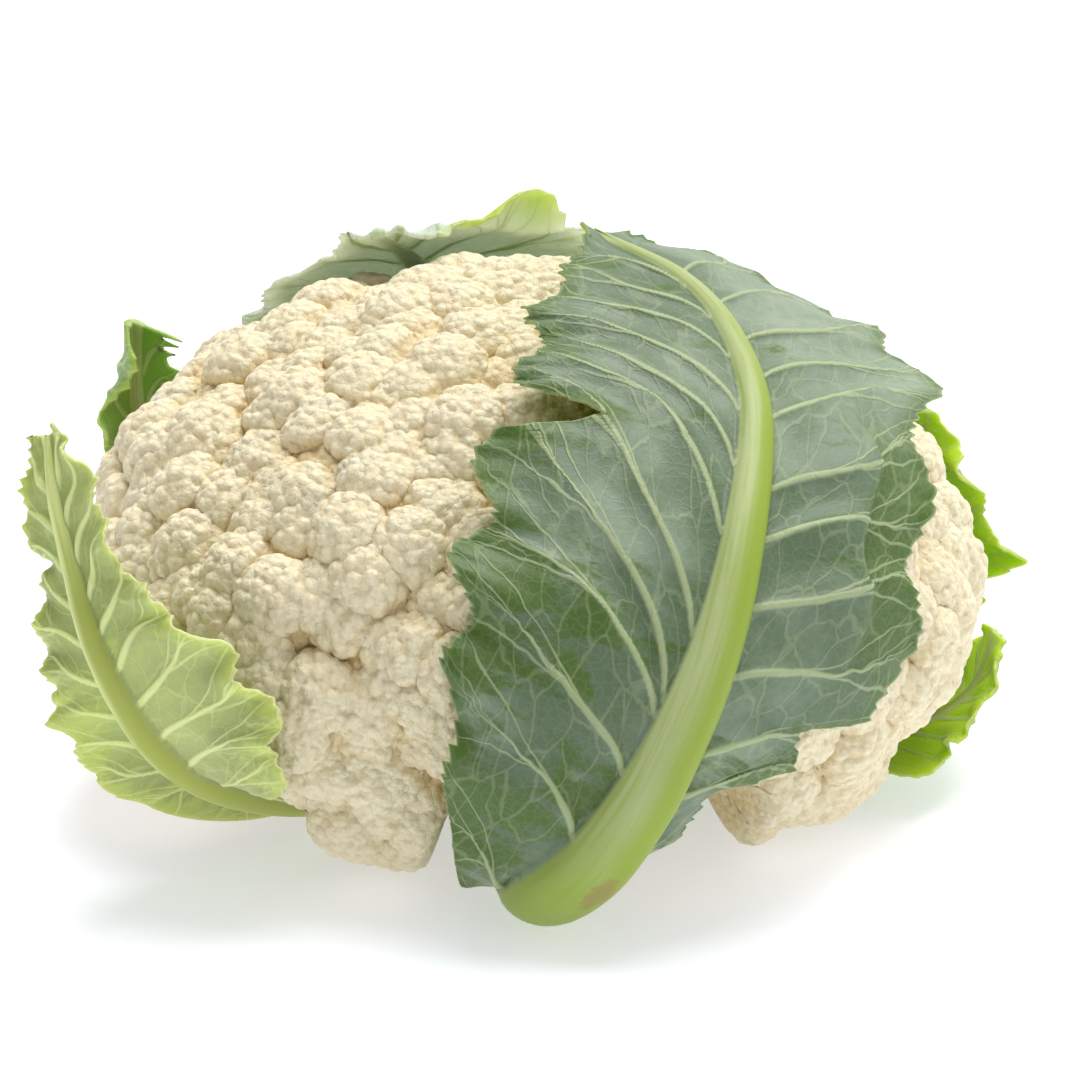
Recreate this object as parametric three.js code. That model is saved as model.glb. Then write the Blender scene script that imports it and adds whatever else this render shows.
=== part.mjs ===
// A head of cauliflower as sold: the curd of florets, the trimmed stalk under it and six wrapper leaves.
// Millimetres, +Z up. The origin is the centre of the stalk's cut face, and -Y is the front of the head.
import * as THREE from "three";
import { mergeVertices } from "three/addons/utils/BufferGeometryUtils.js";

// The head: an ellipsoid that the highest florets touch, and the hollow under it that the stalk stands in.
const HEAD = new THREE.Vector3(91.5, 87.5, 61.5); // half width, half depth and half height
const HEAD_CENTRE = new THREE.Vector3(0, 0, 42);
const SHOULDER = new THREE.Vector3(-0.868, 0.145, 0.474); // the way out of its flatter left side
const SHOULDER_REACH = 75; // how far the florets stand out that way from the head's centre
const HOLLOW_RADIUS = 31;
const HOLLOW_CEILING = 28;
const RIM_RADIUS = 64;
const RIM_LOW = 1; // lowest florets, between the leaf stalks
const RIM_SLOPE_DEG = 9; // turn over which the rim comes down beside a leaf stalk
const SETTLE_HEIGHT = 3; // how close above the underside the lumps begin to flatten

// Florets: lumps set in a golden-angle spiral from the crown to the rim, each with smaller lumps round it.
const FLORET_COUNT = 86;
const FLORET_START_DEG = 56;
const FLORET_LAST_POLAR_DEG = 138;
const FLORET_RADIUS_CROWN = 13.5;
const FLORET_CROWDING = 1.12; // above 1, the florets stand closer at the crown
const FLORET_RADIUS_RIM = 16.5;
const FLORET_SINK = 2; // deepest that a floret sits below its neighbours
// The lowest florets, which hang down between the leaf stalks: azimuth and angle from the crown.
const RIM_FLORETS_DEG = [[-112, 122], [-32, 126], [63, 126], [113, 126], [170, 126], [198, 126]];
const BUD_COUNT = 6; // smaller lumps round each floret
const BUD_SHARE = 0.5; // their radius as a share of the floret's
const CORE_SHARE = 0.82; // the core's radius as a share of the head's
const CURD_DETAIL = 19;

// The stalk, a little wider where the branches of the head leave it, with a bevelled cut end.
const STALK_RADIUS = 25;
const STALK_CUT_RADIUS = 22.5;
const STALK_BEVEL = 1.5;
const STALK_SIDES = 36;
const PIECE_GAP = 0.35;

// Leaves.
const BLADE_THICKNESS = 1.1;
const BLADE_CLEARANCE = 1.4; // least distance from the head's ellipsoid to a blade's middle
const RIB_SHARES = [0, 0.55, 1]; // stations across half the rib, as shares of its half width
const BLADE_SHARES = [0.25, 0.5, 0.75, 1]; // stations from the rib to the margin
const FOLD_RISE = 0.4; // share of the blade over which a fold rises from the rib's side
const FOLD_DROP = 0.2; // share of the blade over which it drops towards the margin
const FOLD_END = 0.06; // share of the path over which a fold runs out
const FLIP_START = 0.72; // where a turned-up margin begins, as a share of the half width
const GOLDEN_ANGLE = Math.PI * (3 - Math.sqrt(5));

// A repeatable draw between 0 and 1.
function draw(seed) {
  const wave = Math.sin(seed * 78.233) * 43758.5453;
  return wave - Math.floor(wave);
}

function smoothstep(low, high, value) {
  const share = THREE.MathUtils.clamp((value - low) / (high - low), 0, 1);
  return share * share * (3 - 2 * share);
}

const radians = THREE.MathUtils.degToRad;

// Distance from the head's centre to its ellipsoid along a unit direction.
function headRadius(direction) {
  return 1 / new THREE.Vector3().copy(direction).divide(HEAD).length();
}

// Outward normal of the head's ellipsoid, grown to pass through a point.
function headNormal(point) {
  return point.clone().sub(HEAD_CENTRE).divide(HEAD).divide(HEAD).normalize();
}

// How far a point stands outside the head's ellipsoid, measured from the centre.
function headLift(point) {
  const arm = point.clone().sub(HEAD_CENTRE);
  const distance = arm.length();
  return distance - headRadius(arm.divideScalar(distance));
}

// The six leaves.
// path: the midrib from the stalk to the tip.
// left and right: half widths of the blade at even steps along the path, seen from outside with the tip up.
// leftLift and rightLift: how far each margin stands off the head at the same steps.
// hang: how far the left margin leans out and down from the midrib, at even steps along the path.
// rib: half width and depth of the leaf stalk at the base, and half width at the tip.
// ruffle: height of the waves in the margin; lobes: how many along it; steps: rows of facets along it.
// notches: cuts into a margin, by hand (1 right, -1 left), place and length as shares of the path, depth.
// folds: ridges along one half, by hand, place from rib to margin, ends as shares of the path, height.
// flips: stretches of a margin that are turned up, by hand, place and length as shares of the path, height.
// room: where the rim of the head passes over the leaf stalk: azimuth, half turn to each side and height.
const LEAVES = [
  {
    name: "leaf_front",
    colour: 0x7f9a7c,
    path: [
      [3, -26, 10], [5, -55, 8.5], [6, -80, 8.5], [15, -91, 19], [26, -92, 36], [35, -86, 55],
      [40.5, -73, 73], [43, -50, 88], [39, -28, 96.5], [31, -9, 101.5], [15, 13, 104.5],
    ],
    left: [9, 10, 17, 33, 43, 46, 45, 40, 36, 26, 4],
    right: [9, 10, 10, 13, 18, 43, 40, 34, 41, 32, 7],
    leftLift: [2, 2, 4, 4, 3, 3, 3, 3, 3, 4, 5],
    rightLift: [2, 2, 4, 4, 4, 4, 5, 8, 7, 2, 3],
    hang: [0, 0],
    rib: { width: 10, depth: 13, tip: 1.6 },
    ruffle: 1.6,
    lobes: 9,
    notches: [
      { hand: -1, at: 0.655, depth: 12, length: 0.06 },
      { hand: 1, at: 0.465, depth: 12, length: 0.06 },
      { hand: 1, at: 0.81, depth: 9, length: 0.05 },
    ],
    folds: [{ hand: 1, at: 0.52, first: 0.5, last: 0.74, height: 3.2 }],
    flips: [],
    steps: 38,
    room: { at: -76, half: 22, height: 20 },
  },
  {
    name: "leaf_left",
    colour: 0xb9cf83,
    path: [
      [-19, -17.5, 11], [-37, -36, 11.5], [-53, -55, 20], [-62.5, -66.5, 30.5], [-69, -71.5, 42],
      [-74, -72, 54], [-77, -70, 65], [-80, -66, 76], [-81.5, -60, 86],
    ],
    left: [6, 8, 10, 12, 13, 12, 8, 8, 2],
    right: [6, 7, 14, 27, 28, 18, 10, 9, 4.5],
    leftLift: [4, 5, 5, 6, 11, 15, 19, 24, 30],
    rightLift: [2, 2, 3.5, 4, 7, 13, 19, 24, 30],
    hang: [0, 7, 9, 7, 5, 2, 0, 0, 0],
    rib: { width: 6, depth: 9, tip: 1.2 },
    ruffle: 1.3,
    lobes: 9,
    notches: [],
    folds: [],
    flips: [],
    steps: 34,
    room: { at: -135, half: 8, height: 30 },
  },
  {
    name: "leaf_back_left",
    colour: 0x6f9152,
    path: [
      [-20, 17, 11], [-42, 37, 9], [-61, 57, 14], [-73, 67, 34], [-77, 67, 54], [-77, 63, 75],
    ],
    left: [8, 9, 12, 10, 6, 3],
    right: [8, 9, 18, 22, 19, 9],
    leftLift: [2, 3, 4, 5, 8, 10],
    rightLift: [2, 3, 4, 4, 6, 9],
    hang: [0, 0],
    rib: { width: 8.5, depth: 11, tip: 1.2 },
    ruffle: 2,
    lobes: 6,
    notches: [],
    folds: [],
    flips: [],
    steps: 26,
    room: { at: 139, half: 12, height: 20 },
  },
  {
    name: "leaf_back",
    colour: 0x86a183,
    path: [
      [2, 26, 11], [1, 58, 9], [-2, 88, 14], [-9, 101, 40],
      [-15, 94, 64], [-18, 70, 82], [-21.5, 46.5, 93.5], [-26, 25, 102],
    ],
    left: [9, 10, 24, 40, 42, 38, 35, 11],
    right: [9, 10, 24, 42, 48, 42, 28, 6],
    leftLift: [2, 3, 4, 4, 3, 2, 1.5, 3],
    rightLift: [2, 3, 4, 5, 3, 2, 1.5, 3],
    hang: [0, 0],
    rib: { width: 9, depth: 12, tip: 1.4 },
    ruffle: 2,
    lobes: 7,
    notches: [],
    folds: [],
    flips: [
      { hand: -1, at: 0.906, length: 0.075, height: 8.5 },
      { hand: -1, at: 0.94, length: 0.14, height: 1.5 },
    ],
    steps: 32,
    room: { at: 87, half: 12, height: 20 },
  },
  {
    name: "leaf_right_back",
    colour: 0x7fa03f,
    path: [
      [20, 17, 11], [46, 38, 9], [66, 56, 14], [73, 62, 35], [70, 58, 57], [61, 49, 75],
    ],
    left: [8, 9, 22, 41, 30, 6],
    right: [8, 9, 20, 36, 34, 10],
    leftLift: [2, 3, 5, 9, 4, 2],
    rightLift: [2, 3, 4, 4, 5, 8],
    hang: [0, 0],
    rib: { width: 8.5, depth: 11, tip: 1.3 },
    ruffle: 2.4,
    lobes: 7,
    notches: [],
    folds: [],
    flips: [],
    steps: 28,
    room: { at: 40, half: 12, height: 20 },
  },
  {
    name: "leaf_right_low",
    colour: 0x86ad3a,
    path: [
      [26, 0, 10], [52, 3, 7], [75, 6, 8], [88, 8, 15], [93, 9, 27],
    ],
    left: [7, 17, 25, 19, 6],
    right: [7, 12, 24, 22, 6],
    leftLift: [2, 2, 3, 4, 5],
    rightLift: [2, 2, 3, 4, 5],
    hang: [0, 0],
    rib: { width: 6.5, depth: 9, tip: 1.2 },
    ruffle: 1.4,
    lobes: 5,
    notches: [],
    folds: [],
    flips: [],
    steps: 18,
    room: { at: 3, half: 19, height: 19 },
  },
];

// Height of the head's underside at a distance from the axis and an azimuth.
function undersideHeight(radius, azimuthDeg) {
  let rim = RIM_LOW;
  for (const { room } of LEAVES) {
    const turn = Math.abs(THREE.MathUtils.euclideanModulo(azimuthDeg - room.at + 180, 360) - 180);
    const over = 1 - smoothstep(room.half, room.half + RIM_SLOPE_DEG, turn);
    rim = Math.max(rim, RIM_LOW + (room.height - RIM_LOW) * over);
  }
  return HOLLOW_CEILING + (rim - HOLLOW_CEILING) * smoothstep(HOLLOW_RADIUS, RIM_RADIUS, radius);
}

// Where the florets sit: the direction of each from the head's centre, its radius and how deep it is sunk.
function floretPlaces() {
  const places = [];
  const crownToRim = 1 - Math.cos(radians(FLORET_LAST_POLAR_DEG));
  for (let i = 0; i < FLORET_COUNT; i++) {
    const share = (i + 0.5) / FLORET_COUNT;
    const polar = Math.acos(1 - Math.pow(share, FLORET_CROWDING) * crownToRim);
    const turn = radians(FLORET_START_DEG) + i * GOLDEN_ANGLE + 0.35 * (draw(i) - 0.5);
    const usual = THREE.MathUtils.lerp(FLORET_RADIUS_CROWN, FLORET_RADIUS_RIM, share);
    const reach = usual * (0.85 + 0.3 * draw(i + 0.3));
    places.push({ polar, turn, reach, sink: FLORET_SINK * draw(i + 0.6) });
  }
  for (const [turn, polar] of RIM_FLORETS_DEG) {
    places.push({ polar: radians(polar), turn: radians(turn), reach: FLORET_RADIUS_RIM, sink: 0 });
  }
  return places;
}

// The lumps of the curd as spheres about the head's centre: each floret, then the buds round it.
function floretLumps() {
  const lumps = [];
  floretPlaces().forEach(({ polar, turn, reach, sink }, i) => {
    const level = Math.sin(polar);
    const outward = new THREE.Vector3(level * Math.cos(turn), level * Math.sin(turn), Math.cos(polar));
    const top = outward.clone().multiply(HEAD);
    top.addScaledVector(SHOULDER, -Math.max(0, top.dot(SHOULDER) - SHOULDER_REACH));
    const axis = outward.clone().divide(HEAD).normalize();
    const centre = top.addScaledVector(axis, -reach - sink);
    lumps.push({ centre, radius: reach * 0.91 });
    const across = new THREE.Vector3(0, 0, 1).cross(axis).normalize();
    const along = axis.clone().cross(across);
    for (let j = 0; j < BUD_COUNT; j++) {
      const tilt = j === 0 ? 0.15 : 0.95 + 0.25 * (draw(i * 9.1 + j) - 0.5);
      const spin = j * (2 * Math.PI / (BUD_COUNT - 1)) + 6 * draw(i + 0.9);
      const bud = axis.clone().multiplyScalar(Math.cos(tilt));
      bud.addScaledVector(across, Math.sin(tilt) * Math.cos(spin));
      bud.addScaledVector(along, Math.sin(tilt) * Math.sin(spin));
      const budRadius = reach * BUD_SHARE * (0.9 + 0.2 * draw(i * 5.7 + j));
      lumps.push({ centre: bud.multiplyScalar(reach - budRadius).add(centre), radius: budRadius });
    }
  });
  return lumps;
}

// Distance from the head's centre to the outside of the lumps along a direction.
function lumpReach(direction, lumps) {
  let reach = headRadius(direction) * CORE_SHARE;
  for (const { centre, radius } of lumps) {
    const along = direction.dot(centre);
    const inside = radius * radius - (centre.lengthSq() - along * along);
    if (inside > 0) reach = Math.max(reach, along + Math.sqrt(inside));
  }
  return reach;
}

// Lifts a point that hangs below the head's underside.
function settleOnUnderside(point) {
  const turnDeg = THREE.MathUtils.radToDeg(Math.atan2(point.y, point.x));
  const floor = undersideHeight(Math.hypot(point.x, point.y), turnDeg);
  const above = point.z - floor;
  if (above < SETTLE_HEIGHT) point.z = floor + SETTLE_HEIGHT * Math.exp(above / SETTLE_HEIGHT - 1);
}

function curdGeometry() {
  const lumps = floretLumps();
  const ball = new THREE.IcosahedronGeometry(1, CURD_DETAIL);
  ball.deleteAttribute("normal");
  ball.deleteAttribute("uv");
  const geometry = mergeVertices(ball, 1e-4);
  const position = geometry.getAttribute("position");
  const direction = new THREE.Vector3();
  for (let i = 0; i < position.count; i++) {
    direction.fromBufferAttribute(position, i).multiply(HEAD).normalize();
    const reach = Math.min(lumpReach(direction, lumps), headRadius(direction));
    direction.multiplyScalar(reach).add(HEAD_CENTRE);
    settleOnUnderside(direction);
    position.setXYZ(i, direction.x, direction.y, direction.z);
  }
  return geometry;
}

function stalkGeometry() {
  const top = HOLLOW_CEILING - PIECE_GAP;
  const profile = [
    [0, 0],
    [STALK_CUT_RADIUS, 0],
    [STALK_CUT_RADIUS + STALK_BEVEL, STALK_BEVEL],
    [STALK_RADIUS - 0.8, 5],
    [STALK_RADIUS, 8],
    [STALK_RADIUS, top - 6],
    [STALK_RADIUS + 2, top],
    [0, top],
  ];
  const lathe = new THREE.LatheGeometry(profile.map(([x, y]) => new THREE.Vector2(x, y)), STALK_SIDES);
  lathe.rotateX(Math.PI / 2);
  lathe.deleteAttribute("normal");
  lathe.deleteAttribute("uv");
  return mergeVertices(lathe, 1e-4);
}

// A smooth value at a share from 0 to 1 along a list of evenly spaced values.
function along(values, share) {
  const at = share * (values.length - 1);
  const i = Math.min(Math.floor(at), values.length - 2);
  const before = values[Math.max(i - 1, 0)];
  const after = values[Math.min(i + 2, values.length - 1)];
  const t = at - i;
  const slopeIn = (values[i + 1] - before) / 2;
  const slopeOut = (after - values[i]) / 2;
  const t2 = t * t;
  const t3 = t2 * t;
  return (2 * t3 - 3 * t2 + 1) * values[i] + (t3 - 2 * t2 + t) * slopeIn
    + (3 * t2 - 2 * t3) * values[i + 1] + (t3 - t2) * slopeOut;
}

// How far the folds of a leaf's half raise it.
function foldHeight(leaf, hand, share, across) {
  let height = 0;
  for (const fold of leaf.folds.filter((n) => n.hand === hand)) {
    const started = smoothstep(fold.first, fold.first + FOLD_END, share);
    const ended = smoothstep(fold.last - FOLD_END, fold.last, share);
    const risen = smoothstep(fold.at - FOLD_RISE, fold.at, across);
    const dropped = smoothstep(fold.at, fold.at + FOLD_DROP, across);
    height += fold.height * (started - ended) * (risen - dropped);
  }
  return height;
}

// How far a leaf's margin is turned up.
function flipHeight(leaf, hand, share) {
  let height = 0;
  for (const flip of leaf.flips.filter((n) => n.hand === hand)) {
    height += flip.height * (1 - smoothstep(0, flip.length / 2, Math.abs(share - flip.at)));
  }
  return height;
}

// The rows of points across a leaf's middle surface, from the stalk to the tip, with each point's half
// thickness on the outer and the inner face.
function leafRows(leaf) {
  const stops = leaf.path.map((p) => new THREE.Vector3(...p));
  const curve = new THREE.CatmullRomCurve3(stops, false, "centripetal");
  const rows = [];
  for (let i = 0; i <= leaf.steps; i++) {
    const share = i / leaf.steps;
    const middle = curve.getPoint(share);
    const forward = curve.getTangent(share);
    const outward = headNormal(middle);
    outward.addScaledVector(forward, -outward.dot(forward)).normalize();
    const side = forward.clone().cross(outward);
    const middleLift = headLift(middle);
    const wrap = smoothstep(-4, 3, middleLift);
    const thinning = Math.pow(1 - share, 1.35);
    const ribWidth = leaf.rib.tip + (leaf.rib.width - leaf.rib.tip) * thinning;
    const ribDepth = leaf.rib.depth * ribWidth / leaf.rib.width;
    const halfRow = (hand, halfWidths, lifts) => {
      const turn = 2 * Math.PI * leaf.lobes * share;
      const lobe = 1 + 0.07 * Math.sin(turn + hand) * smoothstep(0.2, 0.4, share);
      const cut = leaf.notches.filter((n) => n.hand === hand)
        .reduce((sum, n) => sum + n.depth * Math.max(0, 1 - Math.abs(share - n.at) / (n.length / 2)), 0);
      const width = Math.max(along(halfWidths, share) * lobe - cut, ribWidth + 0.5);
      const edgeLift = along(lifts, share);
      const hang = hand < 0 ? along(leaf.hang, share) : 0;
      const flip = flipHeight(leaf, hand, share);
      const stations = [
        ...RIB_SHARES.map((s) => s * ribWidth),
        ...BLADE_SHARES.map((s) => ribWidth + s * (width - ribWidth)),
      ];
      return stations.map((w) => {
        const q = w / width;
        const bend = HEAD.x * Math.tan(w / HEAD.x);
        const plain = middle.clone().addScaledVector(side, hand * bend);
        const arm = plain.clone().sub(HEAD_CENTRE).normalize();
        const wave = 0.7 * Math.sin(1.3 * turn + 2 * hand) + 0.5 * Math.sin(0.57 * turn + hand);
        const across = (w - ribWidth) / (width - ribWidth);
        const level = THREE.MathUtils.lerp(middleLift, edgeLift, Math.pow(q, 1.4))
          + flip * smoothstep(FLIP_START, 1, q) + foldHeight(leaf, hand, share, across);
        const lift = Math.max(level + wrap * leaf.ruffle * q * q * wave, BLADE_CLEARANCE);
        const wrapped = arm.clone().multiplyScalar(headRadius(arm) + lift).add(HEAD_CENTRE);
        const point = plain.lerp(wrapped, wrap * smoothstep(0, ribWidth, w));
        point.addScaledVector(outward, hang * Math.pow(Math.max(0, across), 1.2));
        const round = Math.sqrt(Math.max(0, 1 - (w / ribWidth) ** 2));
        return {
          point,
          outer: BLADE_THICKNESS / 2 + 0.62 * ribDepth * round,
          inner: BLADE_THICKNESS / 2 + 0.3 * ribDepth * round * (1 - 0.8 * wrap),
        };
      });
    };
    const right = halfRow(1, leaf.right, leaf.rightLift);
    const left = halfRow(-1, leaf.left, leaf.leftLift);
    rows.push([...left.slice(1).reverse(), ...right]);
  }
  return rows;
}

// A leaf as one closed solid: the outer and inner faces, split alike, and the margin between them.
function leafGeometry(leaf) {
  const rows = leafRows(leaf);
  const lastRow = rows.length - 1;
  const lastColumn = rows[0].length - 1;
  const positions = [];
  const clamp = THREE.MathUtils.clamp;
  const pointAt = (i, j) => rows[clamp(i, 0, lastRow)][clamp(j, 0, lastColumn)].point;
  for (const face of ["outer", "inner"]) {
    const sign = face === "outer" ? 1 : -1;
    rows.forEach((row, i) => row.forEach((cell, j) => {
      const alongLeaf = pointAt(i + 1, j).clone().sub(pointAt(i - 1, j));
      const acrossLeaf = pointAt(i, j + 1).clone().sub(pointAt(i, j - 1));
      const normal = acrossLeaf.cross(alongLeaf).normalize();
      const place = cell.point.clone().addScaledVector(normal, sign * cell[face]);
      if (i === 0) {
        const level = new THREE.Vector2(place.x, place.y).setLength(STALK_RADIUS + PIECE_GAP);
        place.set(level.x, level.y, place.z);
      }
      positions.push(place.x, place.y, Math.max(place.z, face === "outer" ? 0 : BLADE_THICKNESS));
    }));
  }
  const columns = lastColumn + 1;
  const innerStart = rows.length * columns;
  const index = [];
  const quad = (a, b, c, d) => index.push(a, b, c, a, c, d);
  for (let i = 0; i < lastRow; i++) {
    for (let j = 0; j < lastColumn; j++) {
      const a = i * columns + j;
      const b = a + 1;
      const c = b + columns;
      const d = a + columns;
      quad(a, b, c, d);
      index.push(innerStart + a, innerStart + c, innerStart + b);
      index.push(innerStart + a, innerStart + d, innerStart + c);
    }
    const leftEdge = i * columns;
    const rightEdge = leftEdge + lastColumn;
    quad(leftEdge, leftEdge + columns, innerStart + leftEdge + columns, innerStart + leftEdge);
    quad(rightEdge + columns, rightEdge, innerStart + rightEdge, innerStart + rightEdge + columns);
  }
  for (let j = 0; j < lastColumn; j++) {
    const tip = lastRow * columns + j;
    quad(j + 1, j, innerStart + j, innerStart + j + 1);
    quad(tip, tip + 1, innerStart + tip + 1, innerStart + tip);
  }
  const geometry = new THREE.BufferGeometry();
  geometry.setAttribute("position", new THREE.Float32BufferAttribute(positions, 3));
  geometry.setIndex(index);
  return geometry;
}

function piece(name, geometry, colour, roughness) {
  const material = new THREE.MeshStandardMaterial({ color: colour, roughness, metalness: 0 });
  const mesh = new THREE.Mesh(geometry, material);
  mesh.name = name;
  return mesh;
}

const cauliflower = new THREE.Group();
cauliflower.add(piece("curd", curdGeometry(), 0xf0e6c8, 0.7));
cauliflower.add(piece("stalk", stalkGeometry(), 0xcfd6a0, 0.6));
for (const leaf of LEAVES) cauliflower.add(piece(leaf.name, leafGeometry(leaf), leaf.colour, 0.5));

export default cauliflower;
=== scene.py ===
"""A head of cauliflower: florets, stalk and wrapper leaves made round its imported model."""

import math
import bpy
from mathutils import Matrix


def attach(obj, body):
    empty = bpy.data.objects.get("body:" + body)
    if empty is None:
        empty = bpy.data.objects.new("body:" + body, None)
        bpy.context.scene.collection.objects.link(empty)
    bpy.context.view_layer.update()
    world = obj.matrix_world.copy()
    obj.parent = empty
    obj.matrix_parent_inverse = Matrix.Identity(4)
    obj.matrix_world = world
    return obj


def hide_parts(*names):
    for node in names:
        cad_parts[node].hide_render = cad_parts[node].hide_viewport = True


bl_info = {
    "name": "Cauliflower",
    "version": (1, 0, 0),
    "blender": (4, 5, 0),
    "location": "View3D > Sidebar > Cauliflower",
    "description": "Makes the florets, the stalk and the wrapper leaves of a head of cauliflower",
    "category": "Add Mesh",
}

import bpy
import numpy as np
from bpy.props import FloatProperty, FloatVectorProperty, IntProperty, PointerProperty
from mathutils import Vector
from mathutils.geometry import delaunay_2d_cdt

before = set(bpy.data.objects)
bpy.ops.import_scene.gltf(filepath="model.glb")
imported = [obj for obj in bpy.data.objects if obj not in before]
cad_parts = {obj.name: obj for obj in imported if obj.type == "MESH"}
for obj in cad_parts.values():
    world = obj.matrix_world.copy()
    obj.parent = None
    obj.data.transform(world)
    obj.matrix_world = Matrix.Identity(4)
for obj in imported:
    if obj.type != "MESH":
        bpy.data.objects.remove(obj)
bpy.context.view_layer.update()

# Sizes below are in millimetres and are turned to metres when a mesh is made.
MM = 0.001
GOLDEN_ANGLE = math.pi * (3 - math.sqrt(5))

# The head: an ellipsoid that the highest florets touch, the way out of its flatter left side and how far the
# florets stand out that way, and the hollow under it that the stalk stands in.
HEAD = np.array([91.5, 87.5, 61.5])
HEAD_CENTRE = np.array([0.0, 0.0, 42.0])
SHOULDER = np.array([-0.868, 0.145, 0.474])
SHOULDER_REACH = 75
HOLLOW_RADIUS = 31
HOLLOW_CEILING = 28
RIM_RADIUS = 64
RIM_LOW = 1
RIM_SLOPE_DEG = 9
SETTLE_HEIGHT = 3
SETTLE_ROOM = 0.8

# Florets, set in a golden-angle spiral from the crown to the rim. The lowest ones hang down between the leaf
# stalks, and are given by azimuth and angle from the crown.
FLORET_START_DEG = 56
FLORET_LAST_POLAR_DEG = 138
FLORET_CROWDING = 1.12
FLORET_SPREAD = 1.36
FLORET_FULLNESS = 2.4
RIM_FLORETS_DEG = [(-112, 122), (-32, 126), (63, 126), (113, 126), (170, 126), (198, 126)]
DOME_END_DEG = 80
DOME_REACH = 0.76
STEM_WIDTH = 0.45
STEM_LENGTH = 0.75
CORE_DEPTH = 14
CORE_RINGS = 110
CORE_SIDES = 280
CURD_PIECES = 8
GAP_PIECES = 2
GAP_TRIES = 3000
CREAM_LIGHT = (1.0, 0.85, 0.55)

# The stalk under the head.
STALK_RADIUS = 25
STALK_CUT_RADIUS = 22.5
STALK_BEVEL = 1.5
STALK_SIDES = 96
PIECE_GAP = 0.35

# Leaves.
# WRAP_LIFTS: heights of the midrib off the head between which a blade comes to follow the head.
# RIB_OUTSIDE and RIB_INSIDE: how much of the midrib's depth stands out on each face of the blade.
# SPARE_VEIN_STEP: share of the path between the veins that are added before the first and after the last.
BLADE_CLEARANCE = 1.4
WRAP_LIFTS = (-4, 3)
SPINE_STEPS = 400
RIB_COLUMNS = 8
RIB_TAPER = 1.35
RIB_OUTSIDE = 0.62
RIB_INSIDE = 0.3
COLUMN_STEPS = 1.7
LOBE_DEPTH = 0.07
LIFT_CURVE = 1.4
HANG_CURVE = 1.2
MARGIN_THINNING = 0.45
SPARE_VEIN_STEP = 0.12
FOLD_RISE = 0.4
FOLD_DROP = 0.12
FOLD_END = 0.06
FLIP_START = 0.72
GREEN_LIGHT = (0.7, 1.0, 0.25)
PALE_LIGHT = (0.95, 1.0, 0.85)
YOUNG_LIGHT = (0.85, 1.0, 0.5)

# Colours of each finish, by their names in the leaf settings: blade, pale parts (also painted light on the
# upper right of a blade), rubbed patches (also painted shade beyond a fold), side veins, margin, inner face,
# and the waxy and the bright side of the midrib. The darkest finish, dark green all over, is the green finish
# turned darker as painted shade.
FINISH_COLOURS = {
    "waxy": ("waxy", "waxy_pale", "waxy_rubbed", "waxy_vein", "waxy_rubbed", "green", "rib", "rib_bright"),
    "bloomed": ("waxy", "waxy_pale", "waxy_rubbed", "waxy_vein", "waxy_rubbed", "bloom", "bloom", "rib"),
    "young": (
        "young", "young_pale", "young_edge", "young_vein", "young_edge", "young", "young_vein", "young_rib"
    ),
    "green": ("green_outer", "green", "dark_green_and_shade", "rib", "green", "green", "rib", "rib_bright"),
    "shaded": ("dark_green_and_shade", "dark_green_and_shade", "dark_green_and_shade", "rib", "green", "dark_green_and_shade", "rib", "rib_bright"),
}
# How much light goes into the blade of each finish, and how far by colour.
FINISH_LIGHT = {
    "waxy": (0.1, GREEN_LIGHT),
    "bloomed": (0.85, PALE_LIGHT),
    "young": (0.7, YOUNG_LIGHT),
    "green": (0.75, GREEN_LIGHT),
    "shaded": (0.7, GREEN_LIGHT),
}

# The stage: colours, places in metres and the width of the camera's sensor.
FLOOR_COLOUR = (0.66, 0.68, 0.73, 1)
FLOOR_LIGHT = (0.96, 0.97, 1, 1)
KEY_PLACE = (0.16, 0.2, 1.1)
KEY_TARGET = (0, 0, 0.05)
CAMERA_TARGET = (0.0049, 0, 0.0485)
SENSOR_WIDTH = 36

# name: the node that the leaf replaces; piece: its name here.
# slot and finish: the material of the node, and what the leaf gets here.
# path: the midrib from the stalk to the tip.
# left and right: half widths of the blade at even steps along the path, seen from outside with the tip up.
# left_lift and right_lift: how far each margin stands off the head at the same steps.
# hang: how far the left margin leans out and down from the midrib, at even steps along the path.
# rib: half width and depth of the leaf stalk at the base, and half width at the tip.
# ruffle: height of the waves in the margin; lobes: how many along it.
# notches: cuts into a margin, by hand (1 right, -1 left), place and length as shares of the path, and depth.
# room: where the rim of the head passes over the leaf stalk: azimuth, half turn to each side and height.
# left_veins and right_veins: where each side vein leaves the midrib and how far it runs up, as shares of
# the path.
# vein_bend: below 1, a vein leaves close along the midrib and then turns out.
# vein_size and tooth_size: size of the side veins and of the margin's teeth, as shares of the usual ones.
# frill: height of the small waves at the very margin.
# folds: ridges along one half, with painted shade on the band beyond each, by hand, place from rib to margin,
# first and last share of the path, height.
# flips: stretches of a margin that are turned up, by hand, place and length as shares of the path, height.
# bloom: how much paler the wax makes the leaf, from 0 to 1.
# scars: dry spots, by distance to the right of the midrib, distance along it, half width and half length.
USUAL_LEAF = {
    "hang": [0, 0],
    "notches": [],
    "vein_bend": (0.7, 0.7),
    "vein_size": 1,
    "tooth_size": 1,
    "folds": [],
    "flips": [],
    "bloom": 0,
    "scars": [],
}
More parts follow.
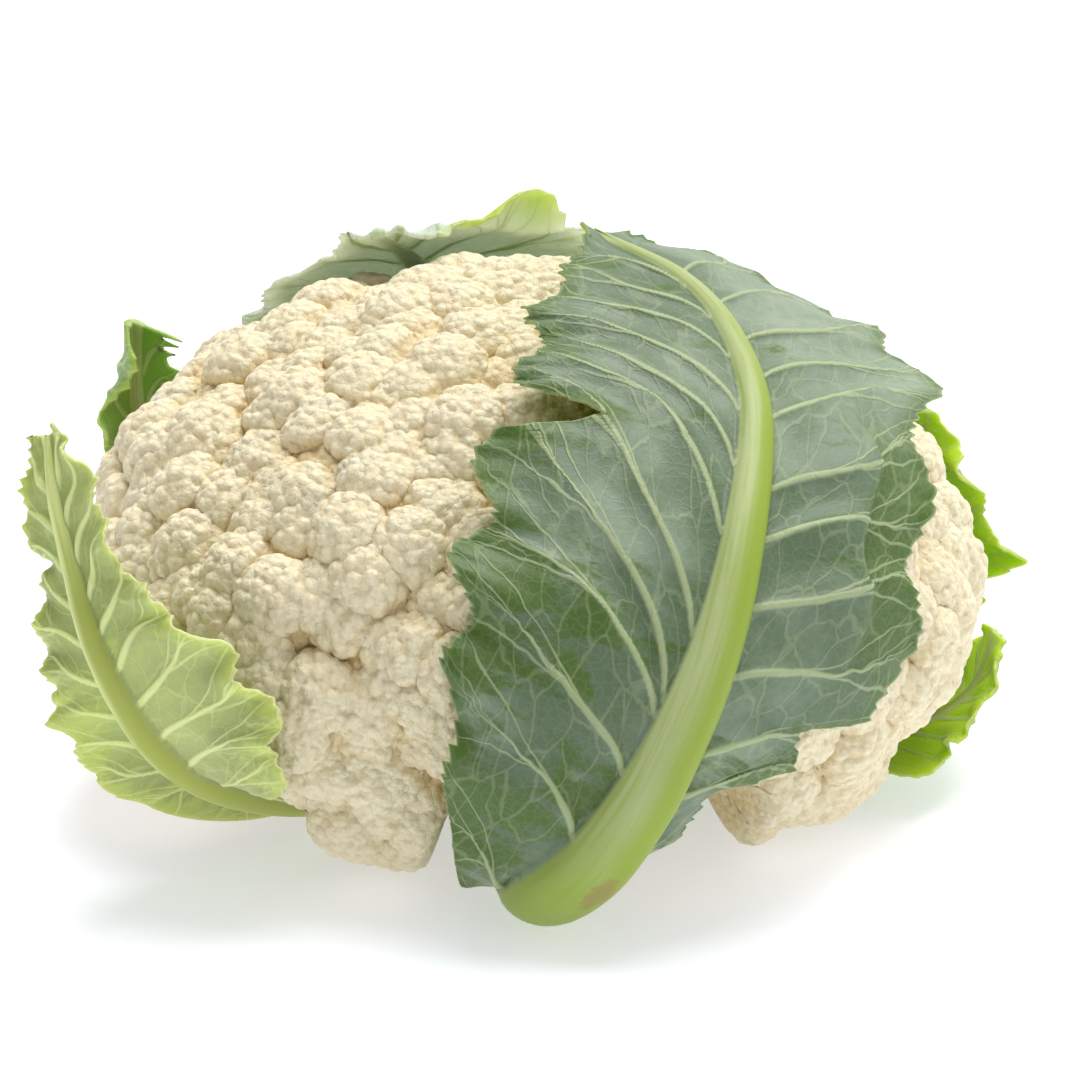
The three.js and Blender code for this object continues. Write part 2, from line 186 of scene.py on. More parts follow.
LEAVES = [
    {
        **USUAL_LEAF,
        "name": "leaf_front",
        "piece": "front_leaf",
        "slot": "leaf_waxy",
        "finish": "waxy",
        "path": [
            (3, -26, 10), (5, -55, 8.5), (6, -80, 8.5), (15, -91, 19), (26, -92, 36), (35, -86, 55),
            (40.5, -73, 73), (43, -50, 88), (39, -28, 96.5), (31, -9, 101.5), (15, 13, 104.5),
        ],
        "left": [9, 10, 17, 33, 43, 46, 45, 40, 36, 26, 4],
        "right": [9, 10, 10, 13, 18, 43, 40, 34, 41, 32, 7],
        "left_lift": [2, 2, 4, 4, 3, 3, 3, 3, 3, 4, 5],
        "right_lift": [2, 2, 4, 4, 4, 4, 5, 8, 7, 2, 3],
        "rib": (10, 13, 1.6),
        "ruffle": 1.6,
        "lobes": 9,
        "notches": [(-1, 0.655, 12, 0.06), (1, 0.465, 12, 0.06), (1, 0.81, 9, 0.05)],
        "room": (-76, 22, 20),
        "left_veins": [
            (0.31, 0.08), (0.38, 0.1), (0.435, 0.13), (0.447, 0.24), (0.505, 0.24), (0.59, 0.2),
            (0.645, 0.17), (0.695, 0.15), (0.76, 0.12), (0.82, 0.1), (0.88, 0.08),
        ],
        "right_veins": [
            (0.3, 0.05), (0.375, 0.06), (0.42, 0.06), (0.485, 0.07), (0.54, 0.075), (0.595, 0.075),
            (0.635, 0.08), (0.695, 0.07), (0.74, 0.06), (0.79, 0.05), (0.85, 0.05), (0.91, 0.04),
        ],
        "vein_bend": (0.6, 0.9),
        "frill": 0.4,
        "folds": [(1, 0.52, 0.5, 0.74, 3.2)],
        "scars": [(1.5, 69, 2.2, 5)],
    },
    {
        **USUAL_LEAF,
        "name": "leaf_left",
        "piece": "left_leaf",
        "slot": "leaf_young",
        "finish": "young",
        "path": [
            (-19, -17.5, 11), (-37, -36, 11.5), (-53, -55, 20), (-62.5, -66.5, 30.5), (-69, -71.5, 42),
            (-74, -72, 54), (-77, -70, 65), (-80, -66, 76), (-81.5, -60, 86),
        ],
        "left": [6, 8, 10, 12, 13, 12, 8, 8, 2],
        "right": [6, 7, 14, 27, 28, 18, 10, 9, 4.5],
        "left_lift": [4, 5, 5, 6, 11, 15, 19, 24, 30],
        "right_lift": [2, 2, 3.5, 4, 7, 13, 19, 24, 30],
        "hang": [0, 7, 9, 7, 5, 2, 0, 0, 0],
        "rib": (6, 9, 1.2),
        "ruffle": 1.3,
        "lobes": 9,
        "room": (-135, 8, 30),
        "left_veins": [(0.22 + 0.075 * i, 0.08) for i in range(10)],
        "right_veins": [(0.2 + 0.07 * i, 0.12) for i in range(11)],
        "vein_bend": (0.8, 0.7),
        "vein_size": 0.6,
        "tooth_size": 0.7,
        "frill": 1.0,
    },
    {
        **USUAL_LEAF,
        "name": "leaf_back_left",
        "piece": "back_left_leaf",
        "slot": "leaf_green",
        # A darker copy of the green finish: painted shade over the whole leaf.
        "finish": "shaded",
        "path": [(-20, 17, 11), (-42, 37, 9), (-61, 57, 14), (-73, 67, 34), (-77, 67, 54), (-77, 63, 75)],
        "left": [8, 9, 12, 10, 6, 3],
        "right": [8, 9, 18, 22, 19, 9],
        "left_lift": [2, 3, 4, 5, 8, 10],
        "right_lift": [2, 3, 4, 4, 6, 9],
        "rib": (8.5, 11, 1.2),
        "ruffle": 2,
        "lobes": 6,
        "room": (139, 12, 20),
        "left_veins": [(0.26 + 0.08 * i, 0.1) for i in range(9)],
        "right_veins": [(0.24 + 0.08 * i, 0.14) for i in range(9)],
        "frill": 0.9,
    },
    {
        **USUAL_LEAF,
        "name": "leaf_back",
        "piece": "back_leaf",
        "slot": "leaf_waxy",
        "finish": "bloomed",
        "path": [
            (2, 26, 11), (1, 58, 9), (-2, 88, 14), (-9, 101, 40),
            (-15, 94, 64), (-18, 70, 82), (-21.5, 46.5, 93.5), (-26, 25, 102),
        ],
        "left": [9, 10, 24, 40, 42, 38, 35, 11],
        "right": [9, 10, 24, 42, 48, 42, 28, 6],
        "left_lift": [2, 3, 4, 4, 3, 2, 1.5, 3],
        "right_lift": [2, 3, 4, 5, 3, 2, 1.5, 3],
        "rib": (9, 12, 1.4),
        "ruffle": 2,
        "lobes": 7,
        "room": (87, 12, 20),
        "left_veins": [(0.28 + 0.075 * i, 0.14) for i in range(10)],
        "right_veins": [(0.25 + 0.08 * i, 0.14) for i in range(9)],
        "frill": 0.8,
        "flips": [(-1, 0.906, 0.075, 8.5), (-1, 0.94, 0.14, 1.5)],
        "bloom": 1,
    },
    {
        **USUAL_LEAF,
        "name": "leaf_right_back",
        "piece": "right_back_leaf",
        "slot": "leaf_green",
        "finish": "green",
        "path": [(20, 17, 11), (46, 38, 9), (66, 56, 14), (73, 62, 35), (70, 58, 57), (61, 49, 75)],
        "left": [8, 9, 22, 41, 30, 6],
        "right": [8, 9, 20, 36, 34, 10],
        "left_lift": [2, 3, 5, 9, 4, 2],
        "right_lift": [2, 3, 4, 4, 5, 8],
        "rib": (8.5, 11, 1.3),
        "ruffle": 2.4,
        "lobes": 7,
        "room": (40, 12, 20),
        "left_veins": [(0.26 + 0.08 * i, 0.14) for i in range(9)],
        "right_veins": [(0.24 + 0.08 * i, 0.14) for i in range(9)],
        "frill": 1.0,
    },
    {
        **USUAL_LEAF,
        "name": "leaf_right_low",
        "piece": "right_low_leaf",
        "slot": "leaf_green",
        "finish": "green",
        "path": [(26, 0, 10), (52, 3, 7), (75, 6, 8), (88, 8, 15), (93, 9, 27)],
        "left": [7, 17, 25, 19, 6],
        "right": [7, 12, 24, 22, 6],
        "left_lift": [2, 2, 3, 4, 5],
        "right_lift": [2, 2, 3, 4, 5],
        "rib": (6.5, 9, 1.2),
        "ruffle": 1.4,
        "lobes": 5,
        "room": (3, 19, 19),
        "left_veins": [(0.12 + 0.1 * i, 0.15) for i in range(9)],
        "right_veins": [(0.12 + 0.1 * i, 0.15) for i in range(9)],
        "frill": 0.9,
    },
]


def linear(red, green, blue):
    """A colour given as screen values from 0 to 255, as the linear values that shaders take."""
    share = np.array([red, green, blue]) / 255
    values = np.where(share <= 0.04045, share / 12.92, ((share + 0.055) / 1.055) ** 2.4)
    return tuple(float(value) for value in values)


def colour_property(name, description, red, green, blue):
    colour = linear(red, green, blue)
    return FloatVectorProperty(
        name=name, description=description, subtype="COLOR", size=3, min=0, max=1, default=colour
    )


def length_property(name, description, millimetres):
    length = millimetres * MM
    return FloatProperty(
        name=name, description=description, subtype="DISTANCE", unit="LENGTH", precision=5, default=length
    )


def count_property(name, description, count):
    return IntProperty(name=name, description=description, default=count, min=1)


def strength_property(name, description, strength):
    return FloatProperty(name=name, description=description, default=strength)


def angle_property(name, description, degrees):
    return FloatProperty(name=name, description=description, subtype="ANGLE", default=math.radians(degrees))


class CurdSettings(bpy.types.PropertyGroup):
    """Sizes and colours of the florets."""

    floret_count: count_property("Florets", "How many florets the head has", 86)
    crown_radius: length_property("Crown floret", "Radius of a floret at the crown", 13.5)
    rim_radius: length_property("Rim floret", "Radius of a floret at the rim", 16.5)
    sink: length_property("Sink", "Deepest that a floret sits below its neighbours", 2)
    floret_points: count_property("Floret points", "Mesh points on each floret", 6050)
    gap_florets: count_property("Gap florets", "How many small florets fill the gaps", 60)
    gap_radius: length_property("Gap floret", "Radius of a floret in a gap", 10)
    gap_sink: length_property("Gap sink", "How deep a floret in a gap sits below its neighbours", 3.5)
    gap_points: count_property("Gap floret points", "Mesh points on each floret in a gap", 2200)
    swell: length_property("Swell", "How far a floret is swollen out of round", 1.6)
    bud_spacing: length_property("Bud spacing", "Least distance between two buds of a floret", 9.6)
    bud_height: length_property("Bud height", "How far a bud stands up from its floret", 4.4)
    grain_spacing: length_property("Grain spacing", "Least distance between two grains of a bud", 2.1)
    grain_height: length_property("Grain height", "How far a grain stands up from its bud", 0.8)
    seed: count_property("Seed", "Chooses where the buds and the grains sit", 7)
    cream: colour_property("Cream", "Colour of the florets", 245, 234, 202)
    # Crease colour: painted shade in the creases between buds and grains and deep between the florets, and
    # also a tan on random patches.
    crease: colour_property("Crease", "Colour deep between the buds", 222, 192, 128)
    speck: colour_property("Speck", "Colour of the small dry spots", 150, 105, 60)


class LeafSettings(bpy.types.PropertyGroup):
    """Sizes and colours of the leaves."""

    thickness: length_property("Thickness", "Thickness of a blade", 0.9)
    mesh_step: length_property("Mesh step", "Distance between mesh points along a leaf", 0.62)
    tooth_length: length_property("Tooth length", "Length of a tooth in the margin", 2.9)
    tooth_depth: length_property("Tooth depth", "Depth of a tooth in the margin", 1.9)
    vein_height: length_property("Vein height", "How far a side vein stands up beside the midrib", 0.9)
    vein_width: length_property("Vein width", "Half width of a side vein beside the midrib", 0.95)
    pucker: length_property("Pucker", "How far the blade sinks between two side veins", 1.4)
    waxy: colour_property("Wax", "Bloom on the outer leaves", 94, 114, 86)
    waxy_pale: colour_property("Thick wax", "Outer leaves where the bloom is thickest", 152, 167, 146)
    waxy_rubbed: colour_property("Rubbed", "Outer leaves where the bloom is rubbed off", 74, 102, 26)
    waxy_vein: colour_property("Outer vein", "Side veins of the outer leaves", 176, 189, 142)
    bloom: colour_property("Pale bloom", "Outside of a leaf with a thick bloom all over", 202, 214, 196)
    young: colour_property("Young", "Blade of the young leaf", 153, 162, 100)
    young_pale: colour_property("Young bloom", "Blade of the young leaf where it is palest", 184, 192, 132)
    young_edge: colour_property("Young margin", "Margin of the young leaf", 180, 192, 106)
    young_vein: colour_property("Young vein", "Side veins of the young leaf", 222, 229, 164)
    young_rib: colour_property("Young midrib", "Midrib of the young leaf where it is greenest", 168, 178, 82)
    green: colour_property("Green", "Inner face of the green leaves", 172, 198, 44)
    green_outer: colour_property("Outer green", "Outer face of the green leaves", 136, 162, 66)
    # The dark green is the rubbed patches of the green leaves, and painted shade over the whole blade and
    # inner face of the darker finish.
    dark_green_and_shade: colour_property("Dark green", "Darker parts of the green leaves", 130, 158, 70)
    rib: colour_property("Midrib", "Waxy side of a midrib", 178, 191, 132)
    rib_bright: colour_property("Midrib stripe", "Bright side of a midrib", 145, 166, 52)
    scar: colour_property("Scar", "Dry scar on a leaf stalk", 150, 128, 74)


class StageSettings(bpy.types.PropertyGroup):
    """Floor, light and camera."""

    floor_size: length_property("Floor", "Side of the floor", 8000)
    floor_glow: strength_property("Floor glow", "Light that the floor gives by itself", 0.5)
    sky: strength_property("Sky", "Strength of the light from all round", 0.58)
    sky_back: strength_property("Backdrop", "How much stronger the light is from behind", 0.26)
    sky_right: strength_property("Right side", "How much stronger the light is from the right", 0.28)
    key: strength_property("Key light", "Strength of the soft light from above", 2.7)
    key_spread: angle_property("Key spread", "How wide the soft light is", 42)
    lens: strength_property("Lens", "Focal length in millimetres on the camera's sensor", 166.67)
    distance: length_property("Distance", "Camera to the head", 950)
    elevation: angle_property("Elevation", "Camera above the horizon", 17)


class CauliflowerSettings(bpy.types.PropertyGroup):
    """All settings of the cauliflower."""

    curd: PointerProperty(type=CurdSettings)
    leaf: PointerProperty(type=LeafSettings)
    stage: PointerProperty(type=StageSettings)


# Shared mathematics.


def draw(seed):
    """A repeatable draw between 0 and 1."""
    wave = math.sin(seed * 78.233) * 43758.5453
    return wave - math.floor(wave)


def smoothstep(low, high, value):
    share = np.clip((value - low) / (high - low), 0, 1)
    return share * share * (3 - 2 * share)


def unit(vectors):
    return vectors / np.linalg.norm(vectors, axis=-1, keepdims=True)


def directions(polar, turn):
    """Unit directions by the angle from the crown and the azimuth."""
    level = np.sin(polar)
    return np.stack([level * np.cos(turn), level * np.sin(turn), np.cos(polar)], 1)


def head_radius(ways):
    """Distance from the head's centre to its ellipsoid along unit directions."""
    return 1 / np.linalg.norm(ways / HEAD, axis=-1)


def head_lift(points):
    """How far points stand outside the head's ellipsoid, measured from its centre."""
    arm = points - HEAD_CENTRE
    distance = np.linalg.norm(arm, axis=-1)
    return distance - head_radius(arm / distance[..., None])


def underside_height(radius, azimuth_deg):
    """Height of the head's underside at a distance from the axis and an azimuth."""
    rim = np.full_like(radius, RIM_LOW)
    for leaf in LEAVES:
        at, half, height = leaf["room"]
        turn = np.abs((azimuth_deg - at + 180) % 360 - 180)
        over = 1 - smoothstep(half, half + RIM_SLOPE_DEG, turn)
        rim = np.maximum(rim, RIM_LOW + (height - RIM_LOW) * over)
    return HOLLOW_CEILING + (rim - HOLLOW_CEILING) * smoothstep(HOLLOW_RADIUS, RIM_RADIUS, radius)


def even_values(values, shares):
    """Smooth values at shares from 0 to 1 along a list of evenly spaced values."""
    values = np.array(values, float)
    at = shares * (len(values) - 1)
    i = np.minimum(at.astype(int), len(values) - 2)
    before = values[np.maximum(i - 1, 0)]
    after = values[np.minimum(i + 2, len(values) - 1)]
    t = at - i
    slope_in = (values[i + 1] - before) / 2
    slope_out = (after - values[i]) / 2
    t2 = t * t
    t3 = t2 * t
    return (
        (2 * t3 - 3 * t2 + 1) * values[i]
        + (t3 - 2 * t2 + t) * slope_in
        + (3 * t2 - 2 * t3) * values[i + 1]
        + (t3 - t2) * slope_out
    )


def path_points(path, shares):
    """Points of a centripetal Catmull-Rom curve through a path, at shares from 0 to 1."""
    path = np.array(path, float)
    padded = np.vstack([2 * path[0] - path[1], path, 2 * path[-1] - path[-2]])
    at = np.clip(shares, 0, 1) * (len(path) - 1)
    i = np.minimum(at.astype(int), len(path) - 2)
    w = (at - i)[:, None]
    p0, p1, p2, p3 = (padded[i + k] for k in range(4))
    d0, d1, d2 = (np.sqrt(np.linalg.norm(b - a, axis=1))[:, None] for a, b in ((p0, p1), (p1, p2), (p2, p3)))
    t1 = ((p1 - p0) / d0 - (p2 - p0) / (d0 + d1) + (p2 - p1) / d1) * d1
    t2 = ((p2 - p1) / d1 - (p3 - p1) / (d1 + d2) + (p3 - p2) / d2) * d1
    return p1 + t1 * w + (3 * (p2 - p1) - 2 * t1 - t2) * w**2 + (2 * (p1 - p2) + t1 + t2) * w**3


# Shared mesh and node helpers.


def new_mesh(name, points, faces, attributes):
    """A smooth mesh from points in millimetres, faces of one size and named values at the points."""
    mesh = bpy.data.meshes.new(name)
    points = np.asarray(points, np.float32) * MM
    faces = np.asarray(faces, np.int32)
    mesh.vertices.add(len(points))
    mesh.vertices.foreach_set("co", points.ravel())
    if len(faces):
        corners = faces.shape[1]
        mesh.loops.add(faces.size)
        mesh.loops.foreach_set("vertex_index", faces.ravel())
        mesh.polygons.add(len(faces))
        mesh.polygons.foreach_set("loop_start", np.arange(len(faces), dtype=np.int32) * corners)
        mesh.polygons.foreach_set("use_smooth", np.ones(len(faces), bool))
    mesh.update(calc_edges=True)
    for key, values in attributes.items():
        values = np.asarray(values, np.float32)
        kind, field = ("FLOAT", "value") if values.ndim == 1 else ("FLOAT_VECTOR", "vector")
        mesh.attributes.new(key, kind, "POINT").data.foreach_set(field, values.ravel())
    mesh.validate()
    return mesh


def new_object(name, mesh):
    piece = bpy.data.objects.new(name, mesh)
    bpy.context.scene.collection.objects.link(piece)
    return piece


def ring_faces(rings, sides):
    """Faces round rings of points from the top down, closed by a top and a bottom point that follow them."""
    top = rings * sides
    last = top - sides
    faces = []
    for j in range(sides):
        after = (j + 1) % sides
        faces.append((top, j, after))
        faces.append((top + 1, last + after, last + j))
        for i in range(rings - 1):
            a, b = i * sides + j, i * sides + after
            faces.append((a, a + sides, b + sides))
            faces.append((a, b + sides, b))
    return faces


def add_node(tree, kind, settings, **inputs):
    """Adds a node with its settings. An input given as a socket is linked, and any other value is set."""
    node = tree.nodes.new(kind)
    for key, value in settings.items():
        setattr(node, key, value)
    for key, value in inputs.items():
        index = int(key[1:]) if key[0] == "i" and key[1:].isdigit() else key.replace("_", " ")
        socket = node.inputs[index]
        if isinstance(value, bpy.types.NodeSocket):
            tree.links.new(value, socket)
        else:
            socket.default_value = value
    return node


def sums(tree, operation, *values):
    """A Math node over one, two or three values."""
    inputs = {f"i{k}": value for k, value in enumerate(values)}
    return add_node(tree, "ShaderNodeMath", {"operation": operation}, **inputs).outputs[0]


def scaled(tree, vector, scale):
    """A vector times a value."""
    node = add_node(tree, "ShaderNodeVectorMath", {"operation": "SCALE"}, Vector=vector, Scale=scale)
    return node.outputs[0]


def ramp(tree, value, low, high, start=0.0, end=1.0):
    """A smooth step of a value, from start at low to end at high."""
    smooth = {"interpolation_type": "SMOOTHSTEP"}
    inputs = {"i0": value, "i1": low, "i2": high, "i3": start, "i4": end}
    return add_node(tree, "ShaderNodeMapRange", smooth, **inputs).outputs[0]


def blend_colours(tree, share, first, second):
    """A colour between two, by a share."""
    inputs = {}
    for key, value in (("i6", first), ("i7", second)):
        inputs[key] = value if isinstance(value, bpy.types.NodeSocket) else (*value, 1)
    return add_node(tree, "ShaderNodeMix", {"data_type": "RGBA"}, i0=share, **inputs).outputs[2]


def attribute(tree, name):
    return add_node(tree, "ShaderNodeAttribute", {"attribute_name": name}).outputs["Fac"]


def noise(tree, place, scale, detail=2.0):
    return add_node(tree, "ShaderNodeTexNoise", {}, Vector=place, Scale=scale, Detail=detail).outputs[0]


def new_material(name):
    """A material with only its shader, and the tree, the shader and the place on the object."""
    material = bpy.data.materials.new(name)
    material.use_nodes = True
    tree = material.node_tree
    shader = tree.nodes["Principled BSDF"]
    place = add_node(tree, "ShaderNodeTexCoord", {}).outputs["Object"]
    return material, tree, shader, place


def set_surface(shader, roughness, shine, glow, through, depth):
    """Sets how rough and shiny a surface is, how much light goes in, how far by colour, and how deep."""
    shader.inputs["Roughness"].default_value = roughness
    shader.inputs["Specular IOR Level"].default_value = shine
    shader.inputs["Subsurface Weight"].default_value = glow
    shader.inputs["Subsurface Radius"].default_value = through
    shader.inputs["Subsurface Scale"].default_value = depth


def finish_piece(piece, node):
    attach(piece, "root")
    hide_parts(node)


# The curd.


def curd_material(settings):
    material, tree, shader, place = new_material("curd_cream")
    grains = add_node(tree, "ShaderNodeTexVoronoi", {}, Vector=place, Scale=620.0).outputs["Distance"]
    colour = settings.cream
    # Painted shade: points deep between the florets, the creases between buds and between grains, and the
    # edges of the grains turn to the crease colour; a noise also tans random patches.
    creases = (
        (attribute(tree, "deep"), 0.25, 1.0, 0.5),
        (attribute(tree, "bud_crease"), 0.4, 1.0, 0.3),
        (attribute(tree, "crease"), 0.3, 1.0, 0.16),
        (grains, 0.3, 0.75, 0.16),
        (noise(tree, place, 38, 4), 0.56, 0.75, 0.2),
    )
    for value, low, high, most in creases:
        colour = blend_colours(tree, ramp(tree, value, low, high, 0.0, most), colour, settings.crease)
    dots = add_node(tree, "ShaderNodeTexVoronoi", {}, Vector=place, Scale=150.0)
    rare = ramp(tree, noise(tree, place, 60, 1), 0.58, 0.62)
    speck = sums(tree, "MULTIPLY", ramp(tree, dots.outputs["Distance"], 0.04, 0.12, 1.0, 0.0), rare)
    colour = blend_colours(tree, sums(tree, "MULTIPLY", speck, 0.7), colour, settings.speck)
    tree.links.new(colour, shader.inputs["Base Color"])
    fuzz = sums(tree, "MULTIPLY", noise(tree, place, 2600, 2), 0.35)
    height = sums(tree, "SUBTRACT", fuzz, grains)
    bump = add_node(tree, "ShaderNodeBump", {}, Strength=1.0, Distance=0.0007, Height=height)
    tree.links.new(bump.outputs[0], shader.inputs["Normal"])
    set_surface(shader, roughness=0.6, shine=0.3, glow=0.2, through=CREAM_LIGHT, depth=0.002)
    return material


def geometry_tree(name, sizes):
    """An empty Geometry Nodes tree with a mesh in and out and named sizes, and its two end nodes."""
    tree = bpy.data.node_groups.new(name, "GeometryNodeTree")
    tree.interface.new_socket("Mesh", in_out="INPUT", socket_type="NodeSocketGeometry")
    for size, kind in sizes:
        tree.interface.new_socket(size, in_out="INPUT", socket_type=kind)
    tree.interface.new_socket("Mesh", in_out="OUTPUT", socket_type="NodeSocketGeometry")
    return tree, tree.nodes.new("NodeGroupInput").outputs, tree.nodes.new("NodeGroupOutput").inputs


def floret_tree():
    """Sets a floret on every point, turned along the point's lean and scaled by its size."""
    sizes = [("Floret", "NodeSocketObject"), ("Finish", "NodeSocketMaterial")]
    tree, given, result = geometry_tree("Florets on the head", sizes)
    shape = add_node(tree, "GeometryNodeObjectInfo", {}, Object=given["Floret"]).outputs["Geometry"]
    vector = {"data_type": "FLOAT_VECTOR"}
    lean = add_node(tree, "GeometryNodeInputNamedAttribute", vector, Name="lean").outputs["Attribute"]
    size = add_node(tree, "GeometryNodeInputNamedAttribute", vector, Name="size").outputs["Attribute"]
    turn = add_node(tree, "FunctionNodeAlignRotationToVector", {"axis": "Z"}, Vector=lean).outputs[0]
    inputs = {"Points": given["Mesh"], "Instance": shape, "Rotation": turn, "Scale": size}
    florets = add_node(tree, "GeometryNodeInstanceOnPoints", {}, **inputs)
    whole = add_node(tree, "GeometryNodeRealizeInstances", {}, Geometry=florets.outputs[0]).outputs[0]
    done = add_node(tree, "GeometryNodeSetMaterial", {}, Geometry=whole, Material=given["Finish"]).outputs[0]
    tree.links.new(done, result[0])
    return tree


def raise_domes(tree, mesh, spacing, height, seed, mark):
    """Raises a dome round each of many scattered points of a mesh, and keeps the creases under a name for the
    painted crease shade.
    """
    crowd = sums(tree, "DIVIDE", 3.0, sums(tree, "MULTIPLY", spacing, spacing))
    inputs = {"Mesh": mesh, "Distance_Min": spacing, "Density_Max": crowd, "Seed": seed}
    apart = {"distribute_method": "POISSON"}
    scatter = add_node(tree, "GeometryNodeDistributePointsOnFaces", apart, **inputs).outputs["Points"]
    near = add_node(tree, "GeometryNodeProximity", {"target_element": "POINTS"}, i0=scatter)
    reach = sums(tree, "MULTIPLY", spacing, DOME_REACH)
    share = sums(tree, "DIVIDE", near.outputs["Distance"], reach)
    square = sums(tree, "MINIMUM", sums(tree, "MULTIPLY", share, share), 1.0)
    dome = sums(tree, "SQRT", sums(tree, "SUBTRACT", 1.0, square))
    normal = tree.nodes.new("GeometryNodeInputNormal").outputs[0]
    lift = scaled(tree, normal, sums(tree, "MULTIPLY", dome, height))
    hollow = sums(tree, "SUBTRACT", 1.0, dome)
    stored = {"data_type": "FLOAT", "domain": "POINT"}
    kept = add_node(tree, "GeometryNodeStoreNamedAttribute", stored, Geometry=mesh, Name=mark, Value=hollow)
    return add_node(tree, "GeometryNodeSetPosition", {}, Geometry=kept.outputs[0], Offset=lift).outputs[0]


def lump_tree():
    """Swells the florets out of round, then raises their buds and the grains of the buds."""
    sizes = [
        ("Swell", "NodeSocketFloat"),
        ("Bud Spacing", "NodeSocketFloat"),
        ("Bud Height", "NodeSocketFloat"),
        ("Grain Spacing", "NodeSocketFloat"),
        ("Grain Height", "NodeSocketFloat"),
        ("Seed", "NodeSocketInt"),
        ("Finish", "NodeSocketMaterial"),
    ]
    tree, given, result = geometry_tree("Buds and grains", sizes)
    place = tree.nodes.new("GeometryNodeInputPosition").outputs[0]
    uneven = sums(tree, "SUBTRACT", noise(tree, place, 75.0, 1.0), 0.5)
    normal = tree.nodes.new("GeometryNodeInputNormal").outputs[0]
    far = sums(tree, "MULTIPLY", sums(tree, "MULTIPLY", uneven, 2.0), given["Swell"])
    offset = scaled(tree, normal, far)
    shape = add_node(tree, "GeometryNodeSetPosition", {}, Geometry=given["Mesh"], Offset=offset).outputs[0]
    for lump, mark in (("Bud", "bud_crease"), ("Grain", "crease")):
        spacing, height = given[f"{lump} Spacing"], given[f"{lump} Height"]
        shape = raise_domes(tree, shape, spacing, height, given["Seed"], mark)
    smooth = add_node(tree, "GeometryNodeSetShadeSmooth", {}, Geometry=shape).outputs[0]
    whole = add_node(tree, "GeometryNodeRealizeInstances", {}, Geometry=smooth).outputs[0]
    done = add_node(tree, "GeometryNodeSetMaterial", {}, Geometry=whole, Material=given["Finish"]).outputs[0]
    tree.links.new(done, result[0])
    return tree


def add_geometry_nodes(piece, tree, values):
    """Adds a Geometry Nodes modifier and sets its named inputs by their identifiers."""
    modifier = piece.modifiers.new(tree.name, "NODES")
    modifier.node_group = tree
    for item in tree.interface.items_tree:
        if item.in_out == "INPUT" and item.name in values:
            modifier[item.identifier] = values[item.name]


def keep_result(piece):
    """Turns a piece with modifiers into a plain mesh."""
    graph = bpy.context.evaluated_depsgraph_get()
    shown = piece.evaluated_get(graph)
    made = bpy.data.meshes.new_from_object(shown, preserve_all_data_layers=True, depsgraph=graph)
    piece.modifiers.clear()
    old = piece.data
    piece.data = made
    bpy.data.meshes.remove(old)
    made.name = piece.name


def floret_shape(count):
    """A closed unit dome, with its points spread evenly in a sunflower spiral, on a tapering stem."""
    last_polar = math.radians(DOME_END_DEG)
    i = np.arange(count)
    polar = np.arccos(1 - (i + 0.5) / count * (1 - math.cos(last_polar)))
    turn = i * GOLDEN_ANGLE
    flat = 2 * np.sin(polar / 2)
    disc = np.stack([flat * np.cos(turn), flat * np.sin(turn)], 1)
    rim_count = int(round(math.sqrt(count) * 3.2))
    around = np.arange(rim_count) * 2 * math.pi / rim_count
    rim_flat = 2 * math.sin(last_polar / 2) * 1.008
    disc = np.vstack([disc, np.stack([rim_flat * np.cos(around), rim_flat * np.sin(around)], 1)])
    made = delaunay_2d_cdt([Vector(p) for p in disc], [], [], 0, 1e-7)
    points = np.array([tuple(p) for p in made[0]])
    faces = np.array([tuple(f) for f in made[2]])
    radius = np.linalg.norm(points, axis=1)
    polar = 2 * np.arcsin(np.clip(radius / 2, 0, 1))
    level = np.sin(polar) / np.maximum(radius, 1e-9)
    height = (1 - np.clip(np.sin(polar), 0, 1) ** FLORET_FULLNESS) ** (1 / FLORET_FULLNESS)
    dome = np.column_stack([points * level[:, None], height])
    edges = np.sort(np.vstack([faces[:, [0, 1]], faces[:, [1, 2]], faces[:, [2, 0]]]), axis=1)
    outline, uses = np.unique(edges, axis=0, return_counts=True)
    rim = np.unique(outline[uses == 1])
    rim = rim[np.argsort(np.arctan2(points[rim, 1], points[rim, 0]))]
    foot = dome[rim] * [STEM_WIDTH, STEM_WIDTH, 1] - [0, 0, STEM_LENGTH]
    first_foot = len(dome)
    bottom = first_foot + len(rim)
    points = np.vstack([dome, foot, [[0, 0, foot[0, 2]]]])
    extra = []
    for k in range(len(rim)):
        after = (k + 1) % len(rim)
        extra.append((rim[k], first_foot + k, first_foot + after))
        extra.append((rim[k], first_foot + after, rim[after]))
        extra.append((first_foot + k, bottom, first_foot + after))
    return points, np.vstack([faces, extra])


def floret_places(settings):
    """The florets' centres, leans and radii, from the crown to the rim, in millimetres."""
    count = settings.floret_count
    crown_to_rim = 1 - math.cos(math.radians(FLORET_LAST_POLAR_DEG))
    places = []
    for i in range(count):
        share = (i + 0.5) / count
        polar = math.acos(1 - share**FLORET_CROWDING * crown_to_rim)
        turn = math.radians(FLORET_START_DEG) + i * GOLDEN_ANGLE + 0.35 * (draw(i) - 0.5)
        usual = settings.crown_radius + (settings.rim_radius - settings.crown_radius) * share
        reach = usual / MM * (0.85 + 0.3 * draw(i + 0.3))
        places.append((polar, turn, reach, settings.sink / MM * draw(i + 0.6)))
    for turn, polar in RIM_FLORETS_DEG:
        places.append((math.radians(polar), math.radians(turn), settings.rim_radius / MM, 0))
    rows = []
    for polar, turn, reach, sink in places:
        level = math.sin(polar)
        outward = np.array([[level * math.cos(turn), level * math.sin(turn), math.cos(polar)]])
        lean = unit(outward / HEAD)[0]
        rows.append((head_surface(outward, 0)[0] - lean * (reach + sink), lean, reach))
    return rows


